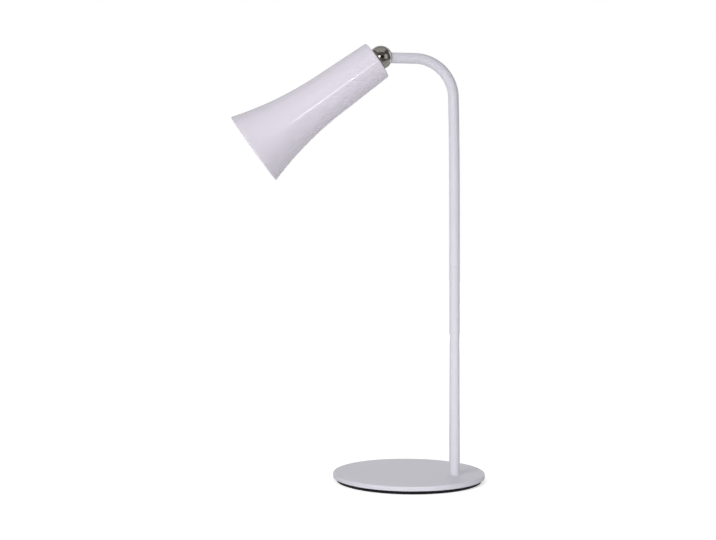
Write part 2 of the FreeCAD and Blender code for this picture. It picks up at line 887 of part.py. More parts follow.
STAND = (base_plate, base_pad, bolt_washer, post_bolt, foot_insert, lower_post, lower_post_insert,
         joint_stud, upper_post_insert, upper_post, arm_insert, ball_stem, steel_ball)
HEAD = (magnet, magnet_keeper, tail_cap, head_shell, chassis, battery_cell, battery_contacts,
        control_board, board_parts, board_screws, charge_port, switch_body, switch_plunger, button_cap,
        battery_leads, led_leads, heat_spreader, led_board, led_screws, leds, reflector, diffuser,
        bezel_ring)


def main():
    os.makedirs("parts", exist_ok=True)
    place = head_placement()
    for make in STAND:
        make().exportStep("parts/" + make.__name__ + ".step")
    for make in HEAD:
        moved(make(), place).exportStep("parts/" + make.__name__ + ".step")


main()
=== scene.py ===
import json
import math

import bmesh
import bpy
from mathutils import Matrix, Vector


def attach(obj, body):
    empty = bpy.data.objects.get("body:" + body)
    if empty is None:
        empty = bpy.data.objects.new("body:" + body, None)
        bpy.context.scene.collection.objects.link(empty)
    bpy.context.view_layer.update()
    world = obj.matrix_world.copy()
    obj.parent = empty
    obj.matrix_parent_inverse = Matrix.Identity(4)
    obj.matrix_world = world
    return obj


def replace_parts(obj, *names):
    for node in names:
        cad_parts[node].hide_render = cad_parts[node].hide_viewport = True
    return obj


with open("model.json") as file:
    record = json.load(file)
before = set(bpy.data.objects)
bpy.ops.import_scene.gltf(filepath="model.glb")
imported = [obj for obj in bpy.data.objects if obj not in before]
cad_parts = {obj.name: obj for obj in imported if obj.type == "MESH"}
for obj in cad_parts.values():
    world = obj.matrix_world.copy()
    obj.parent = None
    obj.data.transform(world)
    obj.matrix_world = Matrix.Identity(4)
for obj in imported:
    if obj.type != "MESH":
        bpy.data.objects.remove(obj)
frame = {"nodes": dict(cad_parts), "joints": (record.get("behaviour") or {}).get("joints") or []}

bl_info = {
    "name": "Cordless Desk Lamp",
    "version": (1, 0, 0),
    "blender": (4, 5, 0),
    "location": "3D View > Sidebar > Lamp",
    "description": "Builds a desk lamp whose head sits on a steel ball by a magnet",
    "category": "Object",
}

# Metres, +Z up, the centre of the base on the floor at the origin. The head's own frame has its
# origin at the centre of the ball, +Z along the head to its mouth and +X out through the button.

MM = 0.001


# ---- Measured from the frame ----

def joint(name):
    return next(entry for entry in frame["joints"] if entry["name"] == name)


def head_frame():
    along = Vector(joint("head_roll")["axis"]).normalized()
    button = -Vector(joint("button_press")["axis"]).normalized()
    turn = Matrix((button, along.cross(button), along)).transposed().to_4x4()
    return Matrix.Translation(Vector(joint("head_roll")["pos_m"])) @ turn


class Extent:
    """How far a CAD node reaches in a frame: along each axis, and out from Z."""

    def __init__(self, node, place=Matrix()):
        inverse = place.inverted()
        seen = [inverse @ corner.co for corner in frame["nodes"][node].data.vertices]
        self.low = Vector(min(point[axis] for point in seen) for axis in range(3))
        self.high = Vector(max(point[axis] for point in seen) for axis in range(3))
        self.start = self.low.z
        self.end = self.high.z
        self.radius = max(point.xy.length for point in seen)
        self.bore = min(point.xy.length for point in seen)
        self.middle = (self.low + self.high) / 2


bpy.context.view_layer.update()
HEAD = head_frame()
BALL = HEAD.translation
POST = Matrix.Translation(Extent("lower_post").middle * Vector((1, 1, 0)))
ARM = Matrix.Translation(BALL) @ Matrix.Rotation(math.pi / 2, 4, "Y")

BUTTON = HEAD @ Matrix.Translation((0, 0, Extent("button_cap", HEAD).middle.z)) @ Matrix.Rotation(
    math.pi / 2, 4, "Y")
FIT = 0.06 * MM                 # room between pieces that fit together
PAST = MM                       # how far a cutter runs past the faces it opens
CREASE = math.radians(38)       # edges sharper than this stay sharp in the shading

# The picture that the camera takes, in its own pixels.
WIDTH_PIXELS = 716
HEIGHT_PIXELS = 540
FOCAL_PIXELS = 1220.3
VIEW_X = 336.4
VIEW_Y = 243.0
SENSOR_WIDTH = 36.0             # millimetres

plate = Extent("base_plate")
pad = Extent("base_pad")
washer = Extent("bolt_washer", POST)
bolt = Extent("post_bolt", POST)
lower_tube = Extent("lower_post", POST)
steel_ball = Extent("steel_ball", HEAD)
shell = Extent("head_shell", HEAD)
cap = Extent("tail_cap", HEAD)
magnet = Extent("magnet", HEAD)
cell = Extent("battery_cell", HEAD)
board = Extent("control_board", HEAD)
port = Extent("charge_port", HEAD)
button = Extent("button_cap", HEAD)
pressed = Extent("button_cap", BUTTON)
spreader = Extent("heat_spreader", HEAD)
diffuser = Extent("diffuser", HEAD)
bezel = Extent("bezel_ring", HEAD)


# ---- Sizes and colours that can be changed ----

def number(name, description, default, **settings):
    return bpy.props.FloatProperty(name=name, description=description, default=default, **settings)


def length(name, description, millimetres):
    return number(name, description, millimetres * MM, min=0.0, unit="LENGTH", precision=5)


def angle(name, description, degrees):
    return number(name, description, math.radians(degrees), subtype="ANGLE")


def power(name, description, watts):
    return number(name, description, watts, unit="POWER")


def colour(name, description, default):
    return bpy.props.FloatVectorProperty(
        name=name, description=description, default=default, min=0.0, max=1.0, size=3, subtype="COLOR")


class LampStandSizes(bpy.types.PropertyGroup):
    """Sizes of the base and the post."""
    base_edge: length("Base edge", "Rounding along the top of the base", 1.4)
    base_lead: length("Base lead", "Rounding along the underside of the base", 0.5)
    pad_edge: length("Pad edge", "Rounding along the pad's foot", 0.6)
    tube_edge: length("Tube edge", "Rounding of the tube's ends at the seam", 0.35)
    bend_radius: length("Bend radius", "Radius of the post's bend, at the middle of the tube", 38.5)
    lean_length: length("Lean length", "Stretch over which the post leans before its bend", 100)
    lean_angle: angle("Lean angle", "How far the post leans where the bend starts", 1.2)
    socket: length("Socket", "Hexagon in the bolt's head, across its flats", 4)
    socket_depth: length("Socket depth", "Depth of the hexagon in the bolt's head", 1.8)
    washer_room: length("Washer room", "Depth of the washer's pocket in the base", 1.4)
    hole_gap: length("Hole gap", "Room round the bolt and the washer", 0.25)
    pad_window: length("Pad window", "How much wider the pad's window is than the washer", 3.5)


class LampHeadSizes(bpy.types.PropertyGroup):
    """Sizes of the head."""
    length: length("Length", "Tail to lip, along the head", 147.6)
    tail_radius: length("Tail radius", "Outer radius of the shell at its tail", 19.6)
    mouth_radius: length("Mouth radius", "Outer radius of the shell near its lip", 37.5)
    cone_length: length("Cone length", "Straight part of the shell, before the flare", 58)
    draft: number("Draft", "Radius gained along the straight part", 0.040)
    wall: length("Wall", "Thickness of the shell", 2.2)
    tail_edge: length("Tail edge", "Rounding of the shell's tail", 1.3)
    tail_opening: length("Tail opening", "Radius of the opening in the tail's flange", 15.5)
    tail_flange: length("Tail flange", "Thickness of the tail's flange", 1.6)
    cap_wall: length("Cap wall", "Thickness of the tail cap", 1.6)
    dish_gap: length("Dish gap", "Room between the tail cap's dish and the ball", 0.6)
    button_gap: length("Button gap", "Room round the button", 0.25)
    button_radius: length("Button radius", "Radius of the button's cap", 5)
    button_edge: length("Button edge", "Rounding of the button's top", 0.6)
    button_dish: length("Button dish", "Depth of the finger dish in the button", 0.35)
    port_gap: length("Port gap", "Room round the charging port", 0.2)
    port_sheet: length("Port sheet", "Sheet that the charging port is drawn from", 0.35)
    hole_edge: length("Hole edge", "Rounding of the openings in the shell", 0.25)
    rib_height: length("Rib height", "Height of the ribs and beads inside the shell", 0.9)
    bezel_edge: length("Bezel edge", "Rounding of the bezel's inner edge", 0.8)


class LampColours(bpy.types.PropertyGroup):
    """Colours of the lamp's finishes."""
    paint: colour("Paint", "Satin coat of the base and the post", (0.68, 0.67, 0.737))
    plastic: colour("Plastic", "Gloss plastic of the head", (0.735, 0.699, 0.78))
    foam: colour("Foam", "Pad under the base", (0.012, 0.012, 0.014))
    steel: colour("Steel", "Polished ball", (0.56, 0.545, 0.52))
    zinc: colour("Zinc", "Bolt, washer, stud and stem", (0.55, 0.55, 0.56))
    brass: colour("Brass", "Threaded inserts and the port's contacts", (0.70, 0.50, 0.22))
    nickel: colour("Nickel", "Magnet, contacts and port", (0.62, 0.60, 0.56))
    dark: colour("Dark plastic", "Chassis, switch, board parts and the port's tongue", (0.022, 0.022, 0.024))
    sleeve: colour("Cell sleeve", "Shrink sleeve of the cell", (0.06, 0.20, 0.42))
    mask: colour("Board", "Solder mask of the control board", (0.01, 0.10, 0.035))
    aluminium: colour("Aluminium", "Heat spreader and LED board", (0.70, 0.71, 0.72))
    opal: colour("Opal", "Diffuser", (0.86, 0.86, 0.85))
    phosphor: colour("Phosphor", "Faces of the LEDs", (0.80, 0.62, 0.08))
    red_wire: colour("Red wire", "Sleeve of the positive wires", (0.45, 0.015, 0.012))


class LampStudio(bpy.types.PropertyGroup):
    """The camera and the light."""
    azimuth: angle("Azimuth", "Way that the camera looks, from +Y towards -X", -8.33)
    distance: length("Distance", "Camera to the lamp's axis, along its view", 1211)
    aside: length("Aside", "How far the camera stands left of the lamp's axis", 71.7)
    height: length("Height", "Camera above the floor", 234.9)
    key: power("Key", "Power of the key light", 27.0)
    back: power("Back", "Power of the light behind the lamp", 20.0)
    top: power("Top", "Power of the top light", 8.5)
    low: power("Low", "Power of the light near the floor in front", 1.35)
    sheen: number("Sheen", "Level of the light that the head mirrors, where 1 is white", 0.85, min=0.0)
    ambient: number("Ambient", "Light from the room, where 1 is white", 0.245, min=0.0)


GROUPS = {
    "lamp_stand": LampStandSizes,
    "lamp_head": LampHeadSizes,
    "lamp_colours": LampColours,
    "lamp_studio": LampStudio,
}


# ---- Finishes ----

SLEEVE_LAP = 2.0 * MM           # how far the cell's sleeve reaches in over its ends


class Number:
    """A number or a position in a tree of nodes. Arithmetic on it adds Math nodes."""

    def __init__(self, nodes, output):
        self.nodes = nodes
        self.output = output

    def math(self, operation, *values):
        return self.nodes.node("ShaderNodeMath", {"operation": operation}, dict(enumerate(values)))

    def __add__(self, other):
        return self.math("ADD", self, other)

    def __radd__(self, other):
        return self.math("ADD", other, self)

    def __sub__(self, other):
        return self.math("SUBTRACT", self, other)

    def __rsub__(self, other):
        return self.math("SUBTRACT", other, self)

    def __mul__(self, other):
        return self.math("MULTIPLY", self, other)

    def __rmul__(self, other):
        return self.math("MULTIPLY", other, self)

    def __pow__(self, other):
        return self.math("POWER", self, other)

    def __rpow__(self, other):
        return self.math("POWER", other, self)

    def parts(self):
        """X, Y and Z of a position."""
        split = self.nodes.node("ShaderNodeSeparateXYZ", {}, {0: self}).output.node
        return [Number(self.nodes, output) for output in split.outputs]

    def noise(self, size, detail=2.0, roughness=0.5):
        """Cloudy pattern from 0 to 1 whose blotches are about this many millimetres."""
        values = {"Vector": self, "Scale": 1 / (size * MM), "Detail": detail, "Roughness": roughness}
        return self.nodes.node("ShaderNodeTexNoise", {}, values, "Fac")

    def cells(self, size, feature="F1"):
        """Distance to the nearest of the scattered cells of this many millimetres."""
        values = {"Vector": self, "Scale": 1 / (size * MM)}
        return self.nodes.node("ShaderNodeTexVoronoi", {"feature": feature}, values, "Distance")

    def waves(self, pitch):
        """Sine of a length, from 0 to 1."""
        phase = self * (2 * math.pi / pitch)
        return phase.math("SINE", phase) * 0.5 + 0.5

    def between(self, low, high):
        """0 at low, 1 at high and a soft step between them."""
        values = {"Value": self, "From Min": low, "From Max": high}
        return self.nodes.node("ShaderNodeMapRange", {"interpolation_type": "SMOOTHSTEP"}, values)


class Nodes:
    """Node tree of a material or a world, whose nodes are all made by one method."""

    def __init__(self, owner):
        owner.use_nodes = True
        self.tree = owner.node_tree

    def node(self, kind, settings, values, output=0):
        """Adds a node: its settings first, then the value or link of each socket."""
        made = self.tree.nodes.new(kind)
        for name, value in settings.items():
            setattr(made, name, value)
        for key, value in values.items():
            if isinstance(value, Number):
                self.tree.links.new(value.output, made.inputs[key])
            else:
                made.inputs[key].default_value = value
        return Number(self, made.outputs[output])

    def link(self, value, shader, socket):
        self.tree.links.new(value.output, shader.inputs[socket])


class Finish(Nodes):
    """A material for one slot of the record."""

    def __init__(self, slot, constants, name=None):
        self.slot = slot
        self.material = bpy.data.materials.new(name or slot)
        super().__init__(self.material)
        self.shader = self.tree.nodes["Principled BSDF"]
        for socket, value in constants.items():
            self.shader.inputs[socket].default_value = value

    def drive(self, socket, value):
        self.link(value, self.shader, socket)

    def here(self, place=Matrix(), stretch=(1, 1, 1)):
        """Position on the piece, seen from a place and stretched along its axes."""
        inverse = place.inverted()
        position = self.node("ShaderNodeTexCoord", {}, {}, "Object")
        turned = self.node(
            "ShaderNodeMapping", {"vector_type": "POINT"},
            {"Vector": position, "Location": inverse.translation, "Rotation": inverse.to_euler()})
        if stretch == (1, 1, 1):
            return turned
        return self.node("ShaderNodeVectorMath", {"operation": "MULTIPLY"}, {0: turned, 1: stretch})

    def blend(self, share, first, second):
        """Colour that goes from the first to the second."""
        values = {0: share, 6: self.opaque(first), 7: self.opaque(second)}
        return self.node("ShaderNodeMix", {"data_type": "RGBA"}, values, 2)

    @staticmethod
    def opaque(value):
        return value if isinstance(value, Number) else (*value, 1.0)

    def tint(self, share, value, low, high):
        """Colour that goes from one shade of a colour to another."""
        return self.blend(share, shade(value, low), shade(value, high))

    def surface(self, colour, roughness, height, depth):
        """Sets the colour, the roughness, and bumps of this depth (mm) where the height goes from 0 to 1."""
        bumps = {"Height": height, "Distance": depth * MM, "Strength": 1.0}
        self.drive("Base Color", colour)
        self.drive("Roughness", roughness)
        self.drive("Normal", self.node("ShaderNodeBump", {}, bumps))
        return self


def shade(value, share):
    """A colour made lighter or darker."""
    return tuple(min(part * share, 1.0) for part in value)


def satin_paint(slot, value):
    """Powder coat: a fine orange peel, and a sheen that handling has made uneven."""
    finish = Finish(slot, {"Specular IOR Level": 0.4})
    here = finish.here()
    peel = here.noise(1.7, 2)
    grain = here.noise(0.3, 1)
    handling = here.noise(38, 4, 0.6)
    specks = here.cells(6).between(0.05, 0.03)
    colour = finish.blend(specks * 0.25, finish.tint(handling, value, 0.975, 1.015), shade(value, 0.6))
    return finish.surface(colour, 0.33 + 0.12 * handling + 0.06 * grain, peel + grain * 0.2, 0.022)


def gloss_plastic(colours):
    """Moulded gloss plastic: faint flow, a hint of peel and fine hairline scratches."""
    finish = Finish("shell_plastic", {"Specular IOR Level": 0.5})
    flow = finish.here(HEAD, (1, 1, 0.25)).noise(18, 3)
    peel = finish.here(HEAD).noise(2.6, 1)
    hair = finish.here(HEAD @ Matrix.Rotation(0.6, 4, "X"), (1, 14, 1)).noise(9, 2)
    scratches = hair.between(0.70, 0.78)
    colour = finish.tint(flow, colours.plastic, 0.985, 1.01)
    return finish.surface(colour, 0.11 + 0.05 * flow + 0.12 * scratches, peel + scratches * -0.3, 0.010)


def closed_foam(colours):
    """Closed-cell foam: skin with small cells, and dusty patches."""
    finish = Finish("pad_rubber", {"Specular IOR Level": 0.3})
    here = finish.here()
    dust = here.noise(14, 5, 0.65)
    colour = finish.tint(dust.between(0.45, 0.75) * 0.35, colours.foam, 1, 3.2)
    return finish.surface(colour, 0.78 + 0.15 * dust, here.cells(0.9) * 0.7 + here.cells(0.35) * 0.5, 0.16)


def polished_steel(colours):
    """Ground and polished ball: hairlines, small smudges and a faint haze round the magnet's ring."""
    finish = Finish("ball_chrome", {"Metallic": 1.0})
    here = finish.here(HEAD)
    z = here.parts()[2]
    smudge = here.noise(7, 4, 0.6).between(0.5, 0.75)
    hair = finish.here(HEAD @ Matrix.Rotation(0.9, 4, "Y"), (1, 25, 1)).noise(5, 2)
    scratches = hair.between(0.66, 0.74)
    halo = z.between(4.8 * MM, 5.6 * MM) * z.between(8.2 * MM, 7.0 * MM)
    haze = 0.5 * smudge + 0.4 * scratches + 0.8 * halo
    colour = finish.tint(haze * 0.2, colours.steel, 1, 0.8)
    return finish.surface(colour, 0.055 + 0.09 * haze, scratches * -1.0, 0.002)


def turned_metal(slot, value, place, pitch=0.35 * MM, base=0.28):
    """Bright metal off a lathe: tool rings about the axis, and dull blotches."""
    finish = Finish(slot, {"Metallic": 1.0}, slot + "_turned")
    here = finish.here(place)
    x, y, z = here.parts()
    rings = ((x * x + y * y) ** 0.5 + z).waves(pitch)
    blotch = here.noise(4, 4, 0.6)
    colour = finish.tint(blotch, value, 0.82, 1.06)
    return finish.surface(colour, base + 0.16 * blotch + 0.05 * rings, rings * 0.5 + blotch * 0.3, 0.012)


def plated_metal(slot, value, base=0.2):
    """Plating: bright, with cloudy patches and a fine grain."""
    finish = Finish(slot, {"Metallic": 1.0}, slot + "_plated")
    here = finish.here(HEAD)
    cloud = here.noise(5, 4, 0.6)
    grain = here.noise(0.2, 1)
    return finish.surface(
        finish.tint(cloud, value, 0.85, 1.08), base + 0.14 * cloud + 0.05 * grain, grain, 0.004)


def eroded_plastic(colours):
    """Dark moulded plastic with the grain of a spark-eroded tool."""
    finish = Finish("black_plastic", {"Specular IOR Level": 0.4})
    here = finish.here(HEAD)
    grain = here.noise(0.35, 3, 0.7)
    colour = finish.tint(here.noise(12, 3), colours.dark, 0.8, 1.5)
    return finish.surface(colour, 0.48 + 0.18 * grain, grain, 0.03)


def shrink_sleeve(colours):
    """Cell in a shrink sleeve that is drawn in at its ends and leaves the metal of the poles bare."""
    finish = Finish("cell_wrap", {"Specular IOR Level": 0.5})
    x, y, z = finish.here(HEAD).parts()
    inner = cell.radius - SLEEVE_LAP
    front = z.between(cell.end - 2.2 * MM, cell.end - 1.8 * MM)
    ends = front + z.between(cell.start + 0.5 * MM, cell.start + 0.3 * MM)
    bare = ((x * x + y * y) ** 0.5).between(inner, inner - 0.2 * MM) * ends.between(0.4, 0.6)
    creases = finish.here(HEAD, (1, 1, 0.2)).noise(1.6, 2)
    seam = y.between(0.35 * MM, 0.2 * MM) * y.between(-0.35 * MM, -0.2 * MM)
    colour = finish.blend(bare, finish.tint(creases, colours.sleeve, 0.9, 1.1), colours.zinc)
    finish.drive("Metallic", bare)
    return finish.surface(colour, 0.26 + 0.1 * creases, creases * (1 - bare) * 0.4 + seam * 0.6, 0.05)


def board_mask(colours):
    """Solder mask over copper: a net of tracks, with tinned pads."""
    finish = Finish("board_green", {"Specular IOR Level": 0.5})
    here = finish.here(HEAD)
    y, z = here.parts()[1:]
    tracks = here.cells(3.2, "DISTANCE_TO_EDGE").between(0.12, 0.07)
    pads = here.cells(2.9).between(0.16, 0.12)
    weave = y.waves(0.5 * MM) * z.waves(0.5 * MM)
    colour = finish.blend(pads, finish.tint(tracks, colours.mask, 1, 2.2), colours.zinc)
    finish.drive("Metallic", pads)
    return finish.surface(colour, 0.3 + 0.1 * weave, tracks * 0.6 + pads + weave * 0.15, 0.035)


def brushed_aluminium(colours):
    """Rolled aluminium sheet: long fine lines across it."""
    finish = Finish("plate_aluminium", {"Metallic": 1.0})
    lines = finish.here(HEAD, (0.04, 1, 1)).noise(0.25, 3)
    colour = finish.tint(finish.here(HEAD).noise(9, 3), colours.aluminium, 0.9, 1)
    return finish.surface(colour, 0.3 + 0.2 * lines, lines, 0.01)


def white_reflector():
    """Matt white moulding inside the head."""
    finish = Finish("reflector_white", {"Specular IOR Level": 0.4})
    here = finish.here(HEAD)
    grain = here.noise(0.4, 2)
    colour = finish.blend(here.noise(15, 2), (0.84, 0.84, 0.83), (0.88, 0.88, 0.88))
    return finish.surface(colour, 0.55 + 0.15 * grain, grain, 0.015)


def opal_sheet(colours):
    """Opal diffuser: milky, with rows of tiny prisms pressed into its face."""
    finish = Finish("opal", {
        "Specular IOR Level": 0.5, "Subsurface Weight": 0.25, "Subsurface Scale": 2 * MM})
    here = finish.here(HEAD)
    x, y = here.parts()[:2]
    prisms = (x + y).waves(1.1 * MM) * (x - y).waves(1.1 * MM)
    colour = finish.tint(here.noise(20, 2), colours.opal, 0.97, 1)
    return finish.surface(colour, 0.34 + 0.12 * prisms, prisms, 0.06)


def phosphor(colours):
    """Face of an LED: grainy phosphor in clear resin."""
    finish = Finish("led_yellow", {"Specular IOR Level": 0.5, "Coat Roughness": 0.08})
    here = finish.here(HEAD)
    grain = here.noise(0.12, 2)
    cloud = here.noise(2.0, 2)
    finish.drive("Coat Weight", 0.4 + 0.4 * cloud)
    return finish.surface(finish.tint(cloud, colours.phosphor, 1, 0.75), 0.2 + 0.3 * grain, grain, 0.02)


def wire_sleeves(colours):
    """Silicone sleeves: the wires on the +Y side of the head are red, the others black."""
    finish = Finish("wire_sleeve", {"Specular IOR Level": 0.45})
    here = finish.here(HEAD)
    red = here.parts()[1].between(-0.05 * MM, 0.05 * MM)
    ribs = finish.here(HEAD, (1, 1, 0.15)).noise(0.5, 2)
    colour = finish.blend(red, (0.012, 0.012, 0.012), colours.red_wire)
    return finish.surface(colour, 0.45 + 0.15 * here.noise(0.5, 2), ribs, 0.02)


def dress(finish, *nodes):
    """Gives CAD nodes that keep their shape a better finish."""
    for node in nodes:
        for slot in frame["nodes"][node].material_slots:
            slot.material = finish.material


# ---- Shapes ----

AXIS = ((0, 0, 0), (0, 0, 1))   # a point on the axis that outlines are spun about, and its direction
CLEAR = 1.7                     # times a rounding: how far from its corner a side is held straight
SHARP = math.radians(40)        # edges that turn more than this are sharp
WELD = 0.001 * MM               # corners nearer than this are merged
SLIVER = 0.0005 * MM            # sides shorter than this are taken out
# Roundings of edges that have no size of their own.
SOFT = 0.2 * MM
SOFTER = 0.25 * MM
SOFTEST = 0.3 * MM
# Steps that a full turn takes: on small pieces, on larger ones, and on the base and the shell.
SMALL = 96
LARGE = 192
LARGEST = 256


def spin(mesh, parts, about, angle, steps, merge=False):
    """Spins parts about an axis, joined up where it is a full turn, and gives what lies at the end."""
    return bmesh.ops.spin(
        mesh, geom=parts, cent=about[0], axis=about[1], dvec=(0, 0, 0), angle=angle, steps=steps,
        use_merge=merge)["geom_last"]


def bevel(mesh, parts, offset, segments, affect="EDGES", clamp=False):
    """Rounds edges or corners by this offset."""
    bmesh.ops.bevel(
        mesh, geom=parts, offset=offset, offset_type="OFFSET", segments=segments, profile=0.5, affect=affect,
        material=-1, clamp_overlap=clamp)
    return mesh


def of_type(parts, kind):
    """The corners (BMVert) or the edges (BMEdge) among the parts of a mesh."""
    return [part for part in parts if isinstance(part, kind)]


class Outline:
    """A wire of (radius, z) corners, drawn one after another and then spun about Z."""

    def __init__(self, radius, z, rounding=0.0):
        self.mesh = bmesh.new()
        self.first = self.last = self.mesh.verts.new((radius, 0, z))
        self.roundings = {self.first: rounding}

    def join(self, corner):
        self.mesh.edges.new((self.last, corner))
        self.last = corner

    def side(self, end, rounding):
        """Corners that hold the roundings at both ends of a straight side, so that it stays straight."""
        start = self.last.co.copy()
        way = end - start
        near = self.roundings.get(self.last, 0.0) * CLEAR
        far = way.length - rounding * CLEAR
        for distance, wanted in ((near, near > 0), (far, rounding > 0)):
            if wanted and 0 < distance < way.length and near < far:
                self.join(self.mesh.verts.new(start + way.normalized() * distance))

    def to(self, radius, z, rounding=0.0):
        """Draws a straight side to a corner whose rounding starts this far from it."""
        end = Vector((radius, 0, z))
        self.side(end, rounding)
        self.join(self.mesh.verts.new(end))
        self.roundings[self.last] = rounding
        return self

    def along(self, *corners):
        """Draws straight sides to corners, one after another."""
        for corner in corners:
            self.to(*corner)
        return self

    def arc(self, radius, z, degrees, steps):
        """Draws an arc about a centre; a positive angle goes from +radius to +z."""
        about = ((radius, 0, z), (0, -1, 0))
        self.last = spin(self.mesh, [self.last], about, math.radians(degrees), steps)[0]
        return self

    def flare_to(self, centre, z, steps):
        """Draws an arc to a height, on the near side of a centre that stands out from the axis."""
        here = self.last.co - Vector((centre.x, 0, centre.y))
        end = math.pi - math.asin((z - centre.y) / here.length)
        return self.arc(centre.x, centre.y, math.degrees(end - math.atan2(here.z, here.x)), steps)

    def closed(self):
        """Draws the last side, back to the first corner."""
        self.side(self.first.co.copy(), self.roundings[self.first])
        self.mesh.edges.new((self.last, self.first))
        return self

    def rounded(self):
        for corner, rounding in self.roundings.items():
            if rounding > 0:
                bevel(self.mesh, [corner], rounding, 6, "VERTICES")
        return self.mesh

    def spun(self, steps):
        """The closed solid that the outline makes when it goes all the way round."""
        mesh = self.rounded()
        spin(mesh, mesh.verts[:] + mesh.edges[:], AXIS, 2 * math.pi, steps, merge=True)
        return sealed(mesh)

    def swept(self, middle, width, steps=12):
        """The solid that the closed outline makes over a short way round, in radians."""
        mesh = self.rounded()
        bmesh.ops.contextual_create(mesh, geom=mesh.edges[:])
        bmesh.ops.rotate(
            mesh, verts=mesh.verts, cent=(0, 0, 0), matrix=Matrix.Rotation(middle - width / 2, 3, "Z"))
        spin(mesh, mesh.verts[:] + mesh.edges[:] + mesh.faces[:], AXIS, width, steps)
        return sealed(mesh)


def sealed(mesh):
    """Merges the seam and the poles, and points the faces outwards."""
    bmesh.ops.remove_doubles(mesh, verts=mesh.verts, dist=WELD)
    bmesh.ops.dissolve_degenerate(mesh, edges=mesh.edges, dist=SLIVER)
    bmesh.ops.recalc_face_normals(mesh, faces=mesh.faces)
    return mesh


def rod(radius, start, end, steps=64, lead=0.0, edge=0.0):
    """Cylinder with these roundings at its start and its end."""
    return Outline(0, start).along((radius, start, lead), (radius, end, edge), (0, end)).spun(steps)


def ring(extent, roundings, steps):
    """Ring over an extent, its corners rounded in turn: inner and outer start, outer and inner end."""
    inner, outer, far, back = roundings
    return Outline(extent.bore, extent.start, inner).along(
        (extent.radius, extent.start, outer), (extent.radius, extent.end, far),
        (extent.bore, extent.end, back)).closed().spun(steps)


def moved(mesh, place):
    bmesh.ops.transform(mesh, matrix=place, verts=mesh.verts)
    return mesh


def merged(mesh, *others):
    """One mesh from several that don't touch."""
    for other in others:
        data = bpy.data.meshes.new("part")
        other.to_mesh(data)
        other.free()
        mesh.from_mesh(data)
        bpy.data.meshes.remove(data)
    return mesh


def as_object(mesh, name):
    data = bpy.data.meshes.new(name)
    mesh.to_mesh(data)
    mesh.free()
    made = bpy.data.objects.new(name, data)
    bpy.context.scene.collection.objects.link(made)
    return made


def without(mesh, *cutters):
    """The mesh with closed cutters taken out of it."""
    for cutter in cutters:
        body = as_object(mesh, "body")
        tool = as_object(cutter, "tool")
        change = body.modifiers.new("cut", "BOOLEAN")
        change.operation = "DIFFERENCE"
        change.solver = "EXACT"
        change.object = tool
        bpy.context.view_layer.update()
        mesh = bmesh.new()
        mesh.from_object(body, bpy.context.evaluated_depsgraph_get())
        for spare in (body, tool):
            data = spare.data
            bpy.data.objects.remove(spare)
            bpy.data.meshes.remove(data)
    return mesh


def eased(mesh, edge, near):
    """Rounds the sharp edges for which near(point) holds."""
    sharp = [side for side in mesh.edges if len(side.link_faces) == 2
             and side.calc_face_angle() > SHARP and all(near(end.co) for end in side.verts)]
    return bevel(mesh, sharp, edge, 3, clamp=True)


def slot_bar(wide, narrow, start, end):
    """Bar along X whose section is a slot, wide along Z and narrow along Y."""
    mesh = bmesh.new()
    corners = [mesh.verts.new((start, y, z)) for y, z in (
        (-narrow / 2, -wide / 2), (narrow / 2, -wide / 2), (narrow / 2, wide / 2), (-narrow / 2, wide / 2))]
    mesh.faces.new(corners)
    nearly_round = narrow / 2 * 0.999
    bevel(mesh, mesh.verts[:], nearly_round, 10, "VERTICES")
    made = bmesh.ops.extrude_face_region(mesh, geom=mesh.faces[:])["geom"]
    bmesh.ops.translate(mesh, verts=of_type(made, bmesh.types.BMVert), vec=(end - start, 0, 0))
    return sealed(mesh)


def piece(name, mesh, finish, body, place):
    """Puts a finished mesh in its place as a piece that rides on a body."""
    made = as_object(moved(mesh, place), name)
    made.data.shade_smooth()
    made.data.set_sharp_from_angle(angle=CREASE)
    made.data.materials.append(finish.material)
    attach(made, body)
    return made


def dressed(node, mesh, finish, body, place=Matrix()):
    """Makes a piece that shows in place of a CAD node."""
    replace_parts(piece(node + "_dressed", mesh, finish, body, place), node)


# ---- Base ----

BOLT_SHOULDER = 2.5 * MM        # the bolt's head stands out this far from its shank

def plate_mesh(sizes):
    disc = rod(plate.radius, plate.start, plate.end, LARGEST, sizes.base_lead, sizes.base_edge)
    hole = rod(bolt.radius - BOLT_SHOULDER + sizes.hole_gap, plate.start - PAST, plate.end + PAST)
    pocket = rod(washer.radius + sizes.hole_gap, plate.start - PAST, plate.start + sizes.washer_room)
    return without(disc, moved(hole, POST), moved(pocket, POST))


def pad_mesh(sizes):
    disc = rod(pad.radius, pad.start, pad.end, LARGE, sizes.pad_edge)
    window = rod(washer.radius + sizes.pad_window, pad.start - PAST, pad.end + PAST, SMALL)
    return without(disc, moved(window, POST))


def washer_mesh():
    return ring(washer, (SOFT,) * 4, SMALL)


def bolt_mesh(sizes):
    """Button-headed bolt with a hexagon socket."""
    under = washer.start
    shank = washer.bore - sizes.hole_gap
    soft = (under - bolt.start) * 0.4
    body = Outline(0, bolt.start).along(
        (bolt.radius, bolt.start, soft), (bolt.radius, under, 0.15 * MM), (shank, under),
        (shank, bolt.end, 0.5 * MM), (0, bolt.end)).spun(SMALL)
    corner = sizes.socket / math.sqrt(3)
    socket = rod(corner, bolt.start - PAST, bolt.start + sizes.socket_depth, 6)
    return without(body, socket)


